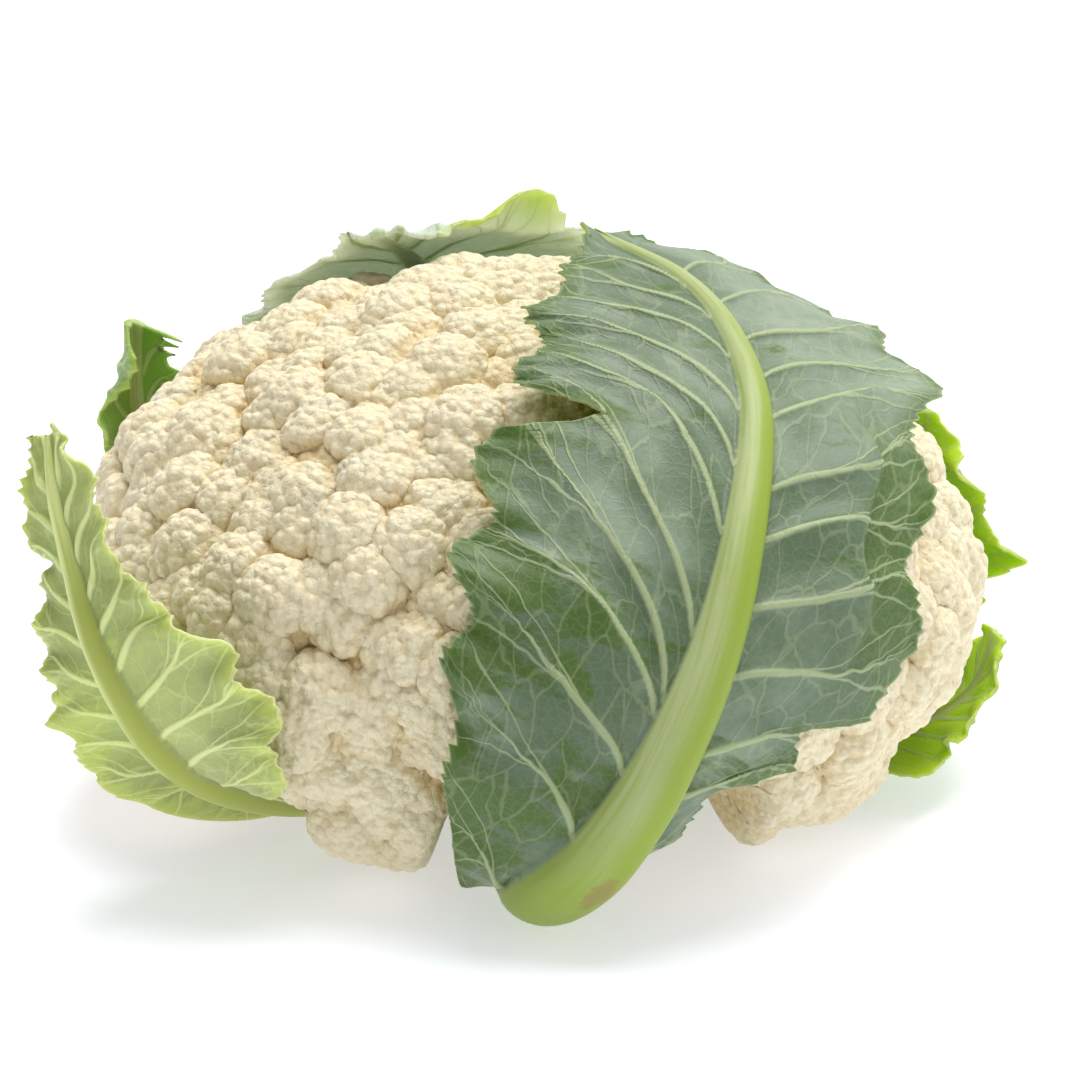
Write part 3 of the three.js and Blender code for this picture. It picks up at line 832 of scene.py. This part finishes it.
def head_surface(outward, depth):
    """Points at a depth under the surface that the florets touch, by unit directions."""
    points = outward * (HEAD - depth)
    over = np.maximum(0, points @ SHOULDER - SHOULDER_REACH + depth)
    return points - SHOULDER * over[:, None] + HEAD_CENTRE


def gap_places(settings, rows):
    """Small florets in the gaps between the others, the widest gap first."""
    tops = np.array([centre + lean * reach for centre, lean, reach in rows])
    reaches = np.array([reach for _, _, reach in rows])
    i = np.arange(GAP_TRIES)
    polar = np.arccos(1 - (i + 0.5) / GAP_TRIES * (1 - math.cos(math.radians(FLORET_LAST_POLAR_DEG))))
    turn = i * GOLDEN_ANGLE
    outward = directions(polar, turn)
    surface = head_surface(outward, 0)
    bare = np.min(np.linalg.norm(surface[:, None] - tops, axis=2) - reaches, axis=1)
    reach = settings.gap_radius / MM
    made = []
    for _ in range(settings.gap_florets):
        widest = int(np.argmax(bare))
        lean = unit(outward[widest] / HEAD)
        made.append((surface[widest] - lean * (reach + settings.gap_sink / MM), lean, reach))
        bare = np.minimum(bare, np.linalg.norm(surface - surface[widest], axis=1) - reach)
    return made


def core_mesh():
    """The head's core between the florets, closed over the hollow that the stalk stands in."""
    polar = np.repeat((np.arange(CORE_RINGS) + 0.5) * math.pi / CORE_RINGS, CORE_SIDES)
    around = np.tile(np.arange(CORE_SIDES) * 2 * math.pi / CORE_SIDES, CORE_RINGS)
    outward = np.vstack([directions(polar, around), [[0, 0, 1.0], [0, 0, -1.0]]])
    points = settle_on_underside(head_surface(outward, CORE_DEPTH), SETTLE_HEIGHT, SETTLE_HEIGHT)
    return new_mesh("curd_core", points, ring_faces(CORE_RINGS, CORE_SIDES), {})


def settle_on_underside(points, room, ease):
    """Lifts points in millimetres that hang below the head's underside, with room for what grows on them."""
    radius = np.hypot(points[:, 0], points[:, 1])
    floor = underside_height(radius, np.degrees(np.arctan2(points[:, 1], points[:, 0]))) + room
    above = points[:, 2] - floor
    eased = ease * np.exp(np.minimum(above / ease - 1, 0))
    points[:, 2] = np.where(above < ease, floor + eased, points[:, 2])
    return points


def hold_in_head(points):
    """Draws in points in millimetres that stand out of the head's ellipsoid."""
    arm = unit(points - HEAD_CENTRE)
    lift = head_lift(points)
    eased = np.where(lift > -1, -np.exp(-np.maximum(lift + 1, 0)), lift)
    return points + arm * (eased - lift)[:, None]


def mesh_points(mesh):
    """The points of a mesh in millimetres."""
    points = np.empty(len(mesh.vertices) * 3, np.float32)
    mesh.vertices.foreach_get("co", points)
    return points.reshape(-1, 3).astype(float) / MM


def set_mesh_points(mesh, points):
    mesh.vertices.foreach_set("co", (points * MM).astype(np.float32).ravel())
    mesh.update()


def finish_curd(piece):
    """Fits a made piece of the curd to the head and stores how deep each point lies, for painted shade in the
    depths.
    """
    mesh = piece.data
    points = settle_on_underside(hold_in_head(mesh_points(mesh)), 0, 1)
    deep = smoothstep(2, 12, -head_lift(points)).astype(np.float32)
    mesh.attributes.new("deep", "FLOAT", "POINT").data.foreach_set("value", deep)
    set_mesh_points(mesh, points)
    finish_piece(piece, "curd")


class CAULIFLOWER_OT_curd(bpy.types.Operator):
    """Makes the florets and the core that they grow on"""

    bl_idname = "cauliflower.curd"
    bl_label = "Make the curd"

    def execute(self, context):
        settings = context.scene.cauliflower.curd
        finish = curd_material(settings)
        florets = floret_tree()
        lumps = lump_tree()
        sizes = {
            "Swell": settings.swell,
            "Bud Spacing": settings.bud_spacing,
            "Bud Height": settings.bud_height,
            "Grain Spacing": settings.grain_spacing,
            "Grain Height": settings.grain_height,
            "Finish": finish,
        }
        relief = (settings.bud_height + settings.grain_height + settings.swell / 2) / MM
        places = floret_places(settings)
        groups = (
            ("curd_florets", places, settings.floret_points, CURD_PIECES),
            ("curd_gap_florets", gap_places(settings, places), settings.gap_points, GAP_PIECES),
        )
        for name, rows, points, pieces in groups:
            shape = new_object("floret_shape", new_mesh("floret_shape", *floret_shape(points), {}))
            shape.data.transform(shape.matrix_basis.Scale(1 / MM, 4))
            for k in range(pieces):
                some = rows[k::pieces]
                tall = np.array([reach - relief for _, _, reach in some])
                wide = np.array([reach * FLORET_SPREAD - relief for _, _, reach in some])
                marks = {"lean": [lean for _, lean, _ in some], "size": np.stack([wide, wide, tall], 1) * MM}
                piece = new_object(f"{name}_{k + 1}", new_mesh("florets", [c for c, _, _ in some], [], marks))
                add_geometry_nodes(piece, florets, {"Floret": shape, "Finish": finish})
                keep_result(piece)
                smooth = settle_on_underside(mesh_points(piece.data), relief * SETTLE_ROOM, 2 * SETTLE_HEIGHT)
                set_mesh_points(piece.data, smooth)
                add_geometry_nodes(piece, lumps, {**sizes, "Seed": settings.seed + k})
                keep_result(piece)
                finish_curd(piece)
            bpy.data.objects.remove(shape)
        core = new_object("curd_core", core_mesh())
        add_geometry_nodes(core, lumps, {**sizes, "Seed": settings.seed})
        keep_result(core)
        finish_curd(core)
        return {"FINISHED"}


# The stalk.


def stalk_material(settings):
    material, tree, shader, place = new_material("stalk_cut")
    grain = noise(tree, place, 260, 4)
    colour = blend_colours(tree, grain, settings.rib, settings.young)
    tree.links.new(colour, shader.inputs["Base Color"])
    shader.inputs["Roughness"].default_value = 0.6
    return material


class CAULIFLOWER_OT_stalk(bpy.types.Operator):
    """Makes the trimmed stalk under the head"""

    bl_idname = "cauliflower.stalk"
    bl_label = "Make the stalk"

    def execute(self, context):
        top = HOLLOW_CEILING - PIECE_GAP
        profile = [
            (STALK_RADIUS + 2, top),
            (STALK_RADIUS, top - 6),
            (STALK_RADIUS, 8),
            (STALK_RADIUS - 0.8, 5),
            (STALK_CUT_RADIUS + STALK_BEVEL, STALK_BEVEL),
            (STALK_CUT_RADIUS, 0),
        ]
        around = np.arange(STALK_SIDES) * 2 * math.pi / STALK_SIDES
        points = [(r * math.cos(a), r * math.sin(a), z) for r, z in profile for a in around]
        points += [(0, 0, top), (0, 0, 0)]
        mesh = new_mesh("stalk_trimmed", points, ring_faces(len(profile), STALK_SIDES), {})
        mesh.materials.append(stalk_material(context.scene.cauliflower.leaf))
        finish_piece(new_object("stalk_trimmed", mesh), "stalk")
        return {"FINISHED"}


# The leaves.


def margin_widths(leaf, hand, side_name, rows):
    """Half widths of a blade along the path, without and with its lobes and notches."""
    share = rows["share"]
    least = rows["rib_width"] + 0.5
    waves = np.sin(2 * math.pi * leaf["lobes"] * share + hand)
    lobe = 1 + LOBE_DEPTH * waves * smoothstep(0.2, 0.4, share)
    cut = np.zeros_like(share)
    for notch_hand, at, depth, length in leaf["notches"]:
        if notch_hand == hand:
            cut += depth * np.maximum(0, 1 - np.abs(share - at) / (length / 2))
    whole = np.maximum(even_values(leaf[side_name], share), least)
    return whole, np.maximum(whole * lobe - cut, least)


def margin_teeth(leaf, hand, rows, settings):
    """How far the teeth of a margin stand out along the path."""
    length = rows["length"]
    tooth_length = settings.tooth_length / MM * leaf["tooth_size"]
    tooth_depth = settings.tooth_depth / MM * leaf["tooth_size"]
    tooth = length / tooth_length + 0.8 * np.sin(length * 0.21 + 2 * hand)
    saw = (tooth % 1) ** 1.5
    size = 0.75 + 0.25 * np.sin(length * 0.37 + hand)
    return tooth_depth * (saw - 0.4) * size * smoothstep(0.22, 0.3, rows["share"])


def half_leaf(leaf, hand, rows, settings):
    """One side of a leaf's middle surface as a grid, from the midrib out, with its thickness and marks."""
    side_name = "right" if hand > 0 else "left"
    share = rows["share"]
    thickness = settings.thickness / MM
    rib_width = rows["rib_width"]
    whole, width = margin_widths(leaf, hand, side_name, rows)
    teeth = margin_teeth(leaf, hand, rows, settings)
    edge_lift = even_values(leaf[side_name + "_lift"], share)
    blade_columns = max(12, int(max(leaf[side_name]) * MM / (settings.mesh_step * COLUMN_STEPS)))
    blade = np.arange(1, blade_columns + 1) / blade_columns
    length = rows["length"]
    across = np.concatenate([np.zeros(RIB_COLUMNS), blade])
    rib_across = np.concatenate([np.arange(RIB_COLUMNS) / (RIB_COLUMNS - 1), np.ones(blade_columns)])
    w = rib_across * rib_width[:, None] + across * (width - rib_width)[:, None]
    w = w + teeth[:, None] * smoothstep(0.8, 1, across)
    q = w / width[:, None]
    bend = HEAD[0] * np.tan(w / HEAD[0])
    plain = rows["middle"][:, None] + rows["side"][:, None] * (hand * bend)[..., None]
    arm = unit(plain - HEAD_CENTRE)
    turn = 2 * math.pi * leaf["lobes"] * share
    wave = 0.7 * np.sin(1.3 * turn + 2 * hand) + 0.5 * np.sin(0.57 * turn + hand)
    level = rows["lift"][:, None] + (edge_lift - rows["lift"])[:, None] * np.clip(q, 0, None) ** LIFT_CURVE
    wrap = rows["wrap"][:, None]
    small = np.sin(length * 0.95 + 1.6 * np.sin(length * 0.23 + hand))
    level = level + wrap * leaf["frill"] * np.clip(q, 0, 1) ** 6 * small[:, None]
    # Painted shade: the band of a blade beyond a fold is marked to be darkened in the material.
    beyond = np.zeros_like(w)
    turned = np.zeros_like(w)
    for fold_hand, at, first, last, height in leaf["folds"]:
        if fold_hand == hand:
            window = smoothstep(first, first + FOLD_END, share) - smoothstep(last - FOLD_END, last, share)
            ridge = smoothstep(at - FOLD_RISE, at, across) - smoothstep(at, at + FOLD_DROP, across)
            level = level + height * window[:, None] * ridge
            beyond = np.maximum(beyond, window[:, None] * smoothstep(at - 0.02, at + 0.05, across))
    for flip_hand, at, reach, height in leaf["flips"]:
        if flip_hand == hand:
            window = 1 - smoothstep(0, reach / 2, np.abs(share - at))
            level = level + height * window[:, None] * smoothstep(FLIP_START, 1, q)
            turned = np.maximum(turned, window[:, None] * smoothstep(FLIP_START, 1, q))
    lift = np.maximum(level + wrap * leaf["ruffle"] * q * q * wave[:, None], BLADE_CLEARANCE)
    wrapped = HEAD_CENTRE + arm * (head_radius(arm) + lift)[..., None]
    hold = wrap * smoothstep(0, rib_width[:, None], w)
    points = plain + (wrapped - plain) * hold[..., None]
    if hand < 0:
        lean = even_values(leaf["hang"], share)[:, None] * across**HANG_CURVE
        points = points + rows["outward"][:, None] * lean[..., None]
    profile = np.maximum(0, 1 - (w / rib_width[:, None]) ** 2) ** 0.6
    edge = 1 - MARGIN_THINNING * smoothstep(0.85, 1, across)
    rib_depth = rows["rib_depth"][:, None]
    outer = thickness / 2 * edge + RIB_OUTSIDE * rib_depth * profile
    inner = thickness / 2 * edge + RIB_INSIDE * rib_depth * profile * (1 - 0.8 * wrap)
    reach = np.clip((w - rib_width[:, None]) / np.maximum(whole - rib_width, 1)[:, None], 0, 1.3)
    marks = vein_marks(leaf, side_name, share, reach, points, settings)
    outer = outer + marks.pop("ridge")
    points = points + rows["outward"][:, None] * (marks.pop("pucker") * wrap)[..., None]
    marks["ribside"] = np.clip(hand * w / rib_width[:, None], -1.6, 1.6)
    marks["across"] = np.broadcast_to(across, w.shape)
    marks["share"] = np.broadcast_to(share[:, None], w.shape)
    marks["bloom"] = np.full(w.shape, leaf["bloom"])
    marks["scar"] = np.zeros_like(w)
    for aside, along, half_width, half_length in leaf["scars"]:
        off = np.hypot((hand * w - aside) / half_width, (length[:, None] - along) / half_length)
        marks["scar"] = np.maximum(marks["scar"], np.maximum(0, 1.6 - off))
    marks["beyond"] = beyond
    marks["turned"] = turned
    marks["reach"] = reach
    marks["flat_x"] = hand * w
    marks["flat_y"] = np.broadcast_to(length[:, None], w.shape)
    return points, outer, inner, marks


def vein_marks(leaf, side_name, share, reach, points, settings):
    """Where each point lies between its two side veins, the distance between them, and the veins' ridges."""
    bend = leaf["vein_bend"][1 if side_name == "right" else 0]
    veins = leaf[side_name + "_veins"]
    first, last = veins[0], veins[-1]
    before = [(first[0] - SPARE_VEIN_STEP * k, first[1]) for k in (3, 2, 1)]
    after = [(last[0] + SPARE_VEIN_STEP * k, last[1]) for k in (1, 2, 3)]
    starts, runs = np.array([*before, *veins, *after]).T
    index = np.arange(len(starts))
    out = reach[..., None]
    lines = starts + runs * ((out + 0.06) ** bend - 0.06**bend) + 0.012 * out * np.sin(index * 2.4 + out * 5)
    below = np.clip(np.sum(lines <= share[:, None, None], axis=2) - 1, 0, len(starts) - 2)
    low = np.take_along_axis(lines, below[..., None], 2)[..., 0]
    high = np.take_along_axis(lines, below[..., None] + 1, 2)[..., 0]
    phase = below + np.clip((share[:, None] - low) / (high - low), 0, 1)
    step_down = np.maximum(np.linalg.norm(np.gradient(points, axis=0), axis=2), 1e-6)
    step_out = np.maximum(np.linalg.norm(np.gradient(points, axis=1), axis=2), 1e-6)
    slope = np.hypot(np.gradient(phase, axis=0) / step_down, np.gradient(phase, axis=1) / step_out)
    gap = np.clip(1 / np.maximum(slope, 1e-6), 1, 40)
    near = np.abs(phase - np.round(phase)) * gap
    thin = 1 - 0.7 * np.minimum(reach, 1)
    blade = smoothstep(0, 0.04, reach)
    wide = leaf["vein_size"] * settings.vein_width / MM
    tall = leaf["vein_size"] * settings.vein_height / MM
    ridge = tall * thin * np.exp(-((near / (wide * thin)) ** 2)) * blade
    sag = 0.5 + 0.5 * np.cos(2 * math.pi * phase)
    eased = smoothstep(0, 0.2, reach) * (1 - 0.5 * np.minimum(reach, 1))
    pucker = settings.pucker / MM * sag * np.clip(gap / 14, 0, 1) * eased
    return {"phase": phase, "gap": gap, "ridge": ridge, "pucker": pucker}


def leaf_mesh(leaf, settings):
    """A leaf as one closed mesh: outer and inner faces and the margin between them."""
    coarse = np.linspace(0, 1, SPINE_STEPS)
    spine = path_points(leaf["path"], coarse)
    travelled = np.concatenate([[0], np.cumsum(np.linalg.norm(np.diff(spine, axis=0), axis=1))])
    row_count = int(travelled[-1] * MM / settings.mesh_step)
    share = np.linspace(0, 1, row_count)
    middle = path_points(leaf["path"], share)
    forward = unit(path_points(leaf["path"], share + 1e-4) - path_points(leaf["path"], share - 1e-4))
    outward = unit((middle - HEAD_CENTRE) / HEAD / HEAD)
    outward = unit(outward - forward * np.sum(outward * forward, axis=1, keepdims=True))
    lift = head_lift(middle)
    base, depth, tip = leaf["rib"]
    rib_width = tip + (base - tip) * (1 - share) ** RIB_TAPER
    rows = {
        "share": share,
        "length": np.interp(share, coarse, travelled),
        "middle": middle,
        "side": np.cross(forward, outward),
        "outward": outward,
        "lift": lift,
        "wrap": smoothstep(*WRAP_LIFTS, lift),
        "rib_width": rib_width,
        "rib_depth": depth * rib_width / base,
    }
    right = half_leaf(leaf, 1, rows, settings)
    left = half_leaf(leaf, -1, rows, settings)
    points, outer, inner = (np.concatenate([left[k][:, :0:-1], right[k]], axis=1) for k in range(3))
    marks = {key: np.concatenate([left[3][key][:, :0:-1], right[3][key]], axis=1) for key in right[3]}
    normal = unit(np.cross(np.gradient(points, axis=1), np.gradient(points, axis=0)))
    sheets = []
    for sign, reach, lowest in ((1, outer, 0), (-1, inner, settings.thickness / MM)):
        sheet = points + normal * (sign * reach)[..., None]
        level = sheet[0, :, :2]
        sheet[0, :, :2] = unit(level) * (STALK_RADIUS + PIECE_GAP)
        sheet[..., 2] = np.maximum(sheet[..., 2], lowest)
        sheets.append(sheet.reshape(-1, 3))
    row_total, columns = points.shape[:2]
    corner = (np.arange(row_total - 1)[:, None] * columns + np.arange(columns - 1)).ravel()
    start = row_total * columns
    outside = np.stack([corner, corner + 1, corner + columns + 1, corner + columns], 1)
    inside = outside[:, ::-1] + start
    rim = np.concatenate([
        np.arange(row_total) * columns + columns - 1,
        (row_total - 1) * columns + np.arange(columns - 2, -1, -1),
        np.arange(row_total - 2, -1, -1) * columns,
        np.arange(1, columns - 1),
    ])
    after = np.roll(rim, -1)
    margin = np.stack([after, rim, rim + start, after + start], 1)
    marks = {key: np.tile(values.ravel(), 2) for key, values in marks.items()}
    marks["outside"] = np.repeat([1.0, 0.0], start)
    return new_mesh(leaf["piece"], np.vstack(sheets), np.vstack([outside, inside, margin]), marks)


def vein_mask(tree, phase, reach, settings):
    """How much of a side vein, or of one of its branches, covers a point of the blade."""
    gap = attribute(tree, "gap")
    half = settings.vein_width / MM
    near = sums(tree, "ABSOLUTE", sums(tree, "SUBTRACT", phase, sums(tree, "ROUND", phase)))
    near = sums(tree, "MULTIPLY", near, gap)
    thin = ramp(tree, reach, 0.0, 1.0, 1.0, 0.3)
    full = sums(tree, "MULTIPLY", thin, half * 0.3)
    none = sums(tree, "MULTIPLY", thin, half)
    mask = ramp(tree, near, full, none, 1.0, 0.0)
    part = sums(tree, "FRACT", phase)
    other = sums(tree, "SUBTRACT", 1.0, part)
    roomy = ramp(tree, gap, 4.0, 9.0)
    for side, start, run in ((part, 0.2, 0.5), (other, 0.34, 0.42), (part, 0.62, 0.2), (other, 0.7, 0.16)):
        line = ramp(tree, reach, start, 1.15, 0.0, run)
        off = sums(tree, "MULTIPLY", sums(tree, "ABSOLUTE", sums(tree, "SUBTRACT", side, line)), gap)
        there = sums(tree, "MULTIPLY", ramp(tree, reach, start, start + 0.1), roomy)
        branch = ramp(tree, off, half * 0.12, half * 0.4, 0.7, 0.0)
        mask = sums(tree, "MAXIMUM", mask, sums(tree, "MULTIPLY", branch, there))
    return sums(tree, "MULTIPLY", mask, ramp(tree, reach, 0.8, 1.05, 1.0, 0.35))


def vein_net(tree, place, bend, width):
    """How much of a fine net of veins covers a place."""
    bent = add_node(tree, "ShaderNodeTexNoise", {}, Vector=place, Scale=1.3, Detail=2.0).outputs["Color"]
    shift = scaled(tree, bent, bend)
    moved = add_node(tree, "ShaderNodeVectorMath", {"operation": "ADD"}, i0=place, i1=shift).outputs[0]
    cells = add_node(tree, "ShaderNodeTexVoronoi", {"feature": "DISTANCE_TO_EDGE"}, Vector=moved, Scale=1.0)
    return ramp(tree, cells.outputs["Distance"], width * 0.2, width, 1.0, 0.0)


def rubbed_patches(tree, flat, flat_x, share, across):
    """Where the bloom is rubbed off: streaks across the leaf, mostly low on its left and at the margin."""
    stretched = add_node(tree, "ShaderNodeMapping", {}, Vector=flat, Scale=(0.5, 1.0, 1.0)).outputs[0]
    inputs = {"Vector": stretched, "Scale": 0.085, "Detail": 9.0, "Roughness": 0.72, "Distortion": 0.6}
    blotch = add_node(tree, "ShaderNodeTexNoise", {}, **inputs).outputs[0]
    left = ramp(tree, flat_x, -9.0, 2.0)
    low = ramp(tree, share, 0.42, 0.66, 0.12, 0.0)
    low = sums(tree, "MULTIPLY", low, sums(tree, "MULTIPLY_ADD", left, -0.7, 1.0))
    top = sums(tree, "MULTIPLY", ramp(tree, share, 0.72, 0.86, 0.0, 0.07), sums(tree, "SUBTRACT", 1.0, left))
    low = sums(tree, "ADD", low, top)
    margin = ramp(tree, across, 0.5, 1.0, 0.0, 0.1)
    blotch = sums(tree, "ADD", blotch, sums(tree, "ADD", low, margin))
    return ramp(tree, blotch, 0.58, 0.68)


def midrib_colour(tree, waxy, bright, scar, flat, ribside, share):
    """Colour of a midrib: waxy on its left, bright on its right, with streaks along it and dry scars."""
    turned = sums(tree, "ADD", ribside, sums(tree, "MULTIPLY", noise(tree, flat, 0.05, 3), 0.5))
    stripe = ramp(tree, turned, -0.35, 0.6)
    stripe = sums(tree, "MULTIPLY", stripe, ramp(tree, share, 0.66, 0.9, 1.0, 0.15))
    stripe = sums(tree, "MAXIMUM", stripe, ramp(tree, share, 0.26, 0.4, 0.85, 0.0))
    colour = blend_colours(tree, stripe, waxy, bright)
    streaks = add_node(tree, "ShaderNodeMapping", {}, Vector=flat, Scale=(1.6, 0.05, 1.0)).outputs[0]
    lines = ramp(tree, noise(tree, streaks, 1.0, 4), 0.42, 0.72, 0.0, 0.55)
    colour = blend_colours(tree, lines, colour, bright)
    ragged = sums(tree, "ADD", attribute(tree, "scar"), noise(tree, flat, 0.9, 4))
    return blend_colours(tree, ramp(tree, ragged, 1.1, 1.5, 0.0, 0.65), colour, scar)


def leaf_material(name, settings, colours, glow, through):
    """A leaf's finish: blade, rubbed patches, net of veins, side veins, midrib, margin and inner face, with
    painted light on the upper right and painted shade beyond a fold.
    """
    blade, pale, rubbed, vein, edge, inner, *ribs = colours
    material, tree, shader, place = new_material(name)
    flat_x, flat_y = attribute(tree, "flat_x"), attribute(tree, "flat_y")
    flat = add_node(tree, "ShaderNodeCombineXYZ", {}, X=flat_x, Y=flat_y).outputs[0]
    across, share, reach = (attribute(tree, key) for key in ("across", "share", "reach"))
    ribside, bloom = attribute(tree, "ribside"), attribute(tree, "bloom")
    rib = ramp(tree, sums(tree, "ABSOLUTE", ribside), 0.88, 1.02, 1.0, 0.0)
    off_rib = sums(tree, "SUBTRACT", 1.0, rib)
    wander = sums(tree, "SUBTRACT", noise(tree, flat, 0.16, 2), 0.5)
    phase = sums(tree, "MULTIPLY_ADD", wander, sums(tree, "MULTIPLY", reach, 0.26), attribute(tree, "phase"))
    veins = sums(tree, "MULTIPLY", vein_mask(tree, phase, reach, settings), off_rib)
    from_vein = sums(tree, "MULTIPLY", phase, 1.5)
    along_vein = sums(tree, "MULTIPLY", flat_x, 0.17)
    between = add_node(tree, "ShaderNodeCombineXYZ", {}, X=from_vein, Y=along_vein).outputs[0]
    net = sums(tree, "MULTIPLY", vein_net(tree, between, 0.5, 0.055), off_rib)
    fine = sums(tree, "MULTIPLY", vein_net(tree, scaled(tree, flat, 0.5), 0.6, 0.12), off_rib)
    mottle = noise(tree, place, 420, 3)
    patches = rubbed_patches(tree, flat, flat_x, share, across)
    # Painted light: the upper right of every blade is made paler.
    painted_light_upper_right = sums(tree, "MULTIPLY", ramp(tree, flat_x, 2.0, 12.0), ramp(tree, share, 0.6, 0.8, 0.0, 0.7))
    layers = (
        (ramp(tree, noise(tree, place, 45, 4), 0.42, 0.72, 0.0, 0.65), pale),
        (painted_light_upper_right, pale),
        (ramp(tree, mottle, 0.4, 0.75, 0.0, 0.2), rubbed),
        (sums(tree, "MULTIPLY", patches, 0.85), rubbed),
        (ramp(tree, across, 0.8, 1.0, 0.0, 0.7), edge),
        # Painted shade beyond a fold, in the rubbed colour.
        (sums(tree, "MULTIPLY", attribute(tree, "beyond"), 0.8), rubbed),
        (sums(tree, "MULTIPLY", net, 0.2), vein),
        (sums(tree, "MULTIPLY", fine, 0.07), vein),
    )
    colour = blade
    for weight, layer in layers:
        colour = blend_colours(tree, weight, colour, layer)
    colour = blend_colours(tree, attribute(tree, "outside"), inner, colour)
    thick = sums(tree, "MULTIPLY", bloom, ramp(tree, share, 0.55, 0.85, 0.15, 0.85))
    colour = blend_colours(tree, thick, colour, settings.bloom)
    colour = blend_colours(tree, attribute(tree, "turned"), colour, settings.green)
    colour = blend_colours(tree, sums(tree, "MULTIPLY", veins, 0.78), colour, vein)
    colour = blend_colours(tree, ramp(tree, across, 0.975, 1.0, 0.0, 0.5), colour, vein)
    colour = blend_colours(tree, rib, colour, midrib_colour(tree, *ribs, settings.scar, flat, ribside, share))
    tree.links.new(colour, shader.inputs["Base Color"])
    height = sums(tree, "MULTIPLY_ADD", net, 0.3, veins)
    height = sums(tree, "MULTIPLY_ADD", fine, 0.12, height)
    height = sums(tree, "MULTIPLY_ADD", mottle, 0.3, height)
    bump = add_node(tree, "ShaderNodeBump", {}, Strength=0.55, Distance=0.0004, Height=height)
    tree.links.new(bump.outputs[0], shader.inputs["Normal"])
    set_surface(shader, roughness=0.48, shine=0.4, glow=glow, through=through, depth=0.003)
    return material


class CAULIFLOWER_OT_leaves(bpy.types.Operator):
    """Makes the six wrapper leaves"""

    bl_idname = "cauliflower.leaves"
    bl_label = "Make the leaves"

    def execute(self, context):
        settings = context.scene.cauliflower.leaf
        finishes = {}
        for finish, names in FINISH_COLOURS.items():
            colours = [getattr(settings, name) for name in names]
            finishes[finish] = leaf_material("leaf_" + finish, settings, colours, *FINISH_LIGHT[finish])
        for leaf in LEAVES:
            mesh = leaf_mesh(leaf, settings)
            mesh.materials.append(finishes[leaf["finish"]])
            finish_piece(new_object(leaf["piece"], mesh), leaf["name"])
        return {"FINISHED"}


# The stage.


class CAULIFLOWER_OT_stage(bpy.types.Operator):
    """Makes the floor, the light and the camera"""

    bl_idname = "cauliflower.stage"
    bl_label = "Make the stage"

    def execute(self, context):
        settings = context.scene.cauliflower.stage
        scene = context.scene
        half = settings.floor_size / MM / 2
        corners = [(-half, -half, 0), (half, -half, 0), (half, half, 0), (-half, half, 0)]
        floor = new_object("floor", new_mesh("floor", corners, [(0, 1, 2, 3)], {}))
        material, _, shader, _ = new_material("floor_white")
        shader.inputs["Base Color"].default_value = FLOOR_COLOUR
        shader.inputs["Roughness"].default_value = 0.9
        shader.inputs["Emission Color"].default_value = FLOOR_LIGHT
        shader.inputs["Emission Strength"].default_value = settings.floor_glow
        floor.data.materials.append(material)
        world = bpy.data.worlds.new("studio")
        world.use_nodes = True
        sky = world.node_tree
        background = sky.nodes["Background"]
        background.inputs["Color"].default_value = (1, 1, 1, 1)
        way = add_node(sky, "ShaderNodeTexCoord", {}).outputs["Generated"]
        axes = add_node(sky, "ShaderNodeSeparateXYZ", {}, Vector=way).outputs
        strength = sums(sky, "MULTIPLY_ADD", axes["Y"], settings.sky_back, settings.sky)
        strength = sums(sky, "MULTIPLY_ADD", axes["X"], settings.sky_right, strength)
        sky.links.new(strength, background.inputs["Strength"])
        scene.world = world
        light = bpy.data.lights.new("key_light", "SUN")
        light.energy = settings.key
        light.angle = settings.key_spread
        key = bpy.data.objects.new("key_light", light)
        key.location = KEY_PLACE
        key.rotation_euler = (Vector(KEY_TARGET) - key.location).to_track_quat("-Z", "Y").to_euler()
        scene.collection.objects.link(key)
        lens = bpy.data.cameras.new("camera")
        lens.sensor_width = SENSOR_WIDTH
        lens.lens = settings.lens
        camera = bpy.data.objects.new("camera", lens)
        target = Vector(CAMERA_TARGET)
        slope = settings.elevation
        camera.location = target + settings.distance * Vector((0, -math.cos(slope), math.sin(slope)))
        camera.rotation_euler = (math.pi / 2 - slope, 0, 0)
        scene.collection.objects.link(camera)
        scene.camera = camera
        scene.view_settings.view_transform = "Standard"
        return {"FINISHED"}


class CAULIFLOWER_PT_panel(bpy.types.Panel):
    """Lists the pieces of the cauliflower"""

    bl_idname = "CAULIFLOWER_PT_panel"
    bl_label = "Cauliflower"
    bl_space_type = "VIEW_3D"
    bl_region_type = "UI"
    bl_category = "Cauliflower"

    def draw(self, context):
        settings = context.scene.cauliflower
        for operator in OPERATORS:
            self.layout.operator(operator.bl_idname)
        for group in (settings.curd, settings.leaf, settings.stage):
            for name in group.__annotations__:
                self.layout.prop(group, name)


OPERATORS = (CAULIFLOWER_OT_stage, CAULIFLOWER_OT_curd, CAULIFLOWER_OT_stalk, CAULIFLOWER_OT_leaves)
CLASSES = (CurdSettings, LeafSettings, StageSettings, CauliflowerSettings, *OPERATORS, CAULIFLOWER_PT_panel)


def register():
    for each in CLASSES:
        bpy.utils.register_class(each)
    bpy.types.Scene.cauliflower = PointerProperty(type=CauliflowerSettings)


def unregister():
    del bpy.types.Scene.cauliflower
    for each in reversed(CLASSES):
        bpy.utils.unregister_class(each)


def main():
    register()
    bpy.ops.cauliflower.stage()
    bpy.ops.cauliflower.curd()
    bpy.ops.cauliflower.stalk()
    bpy.ops.cauliflower.leaves()


if __name__ == "__main__":
    main()
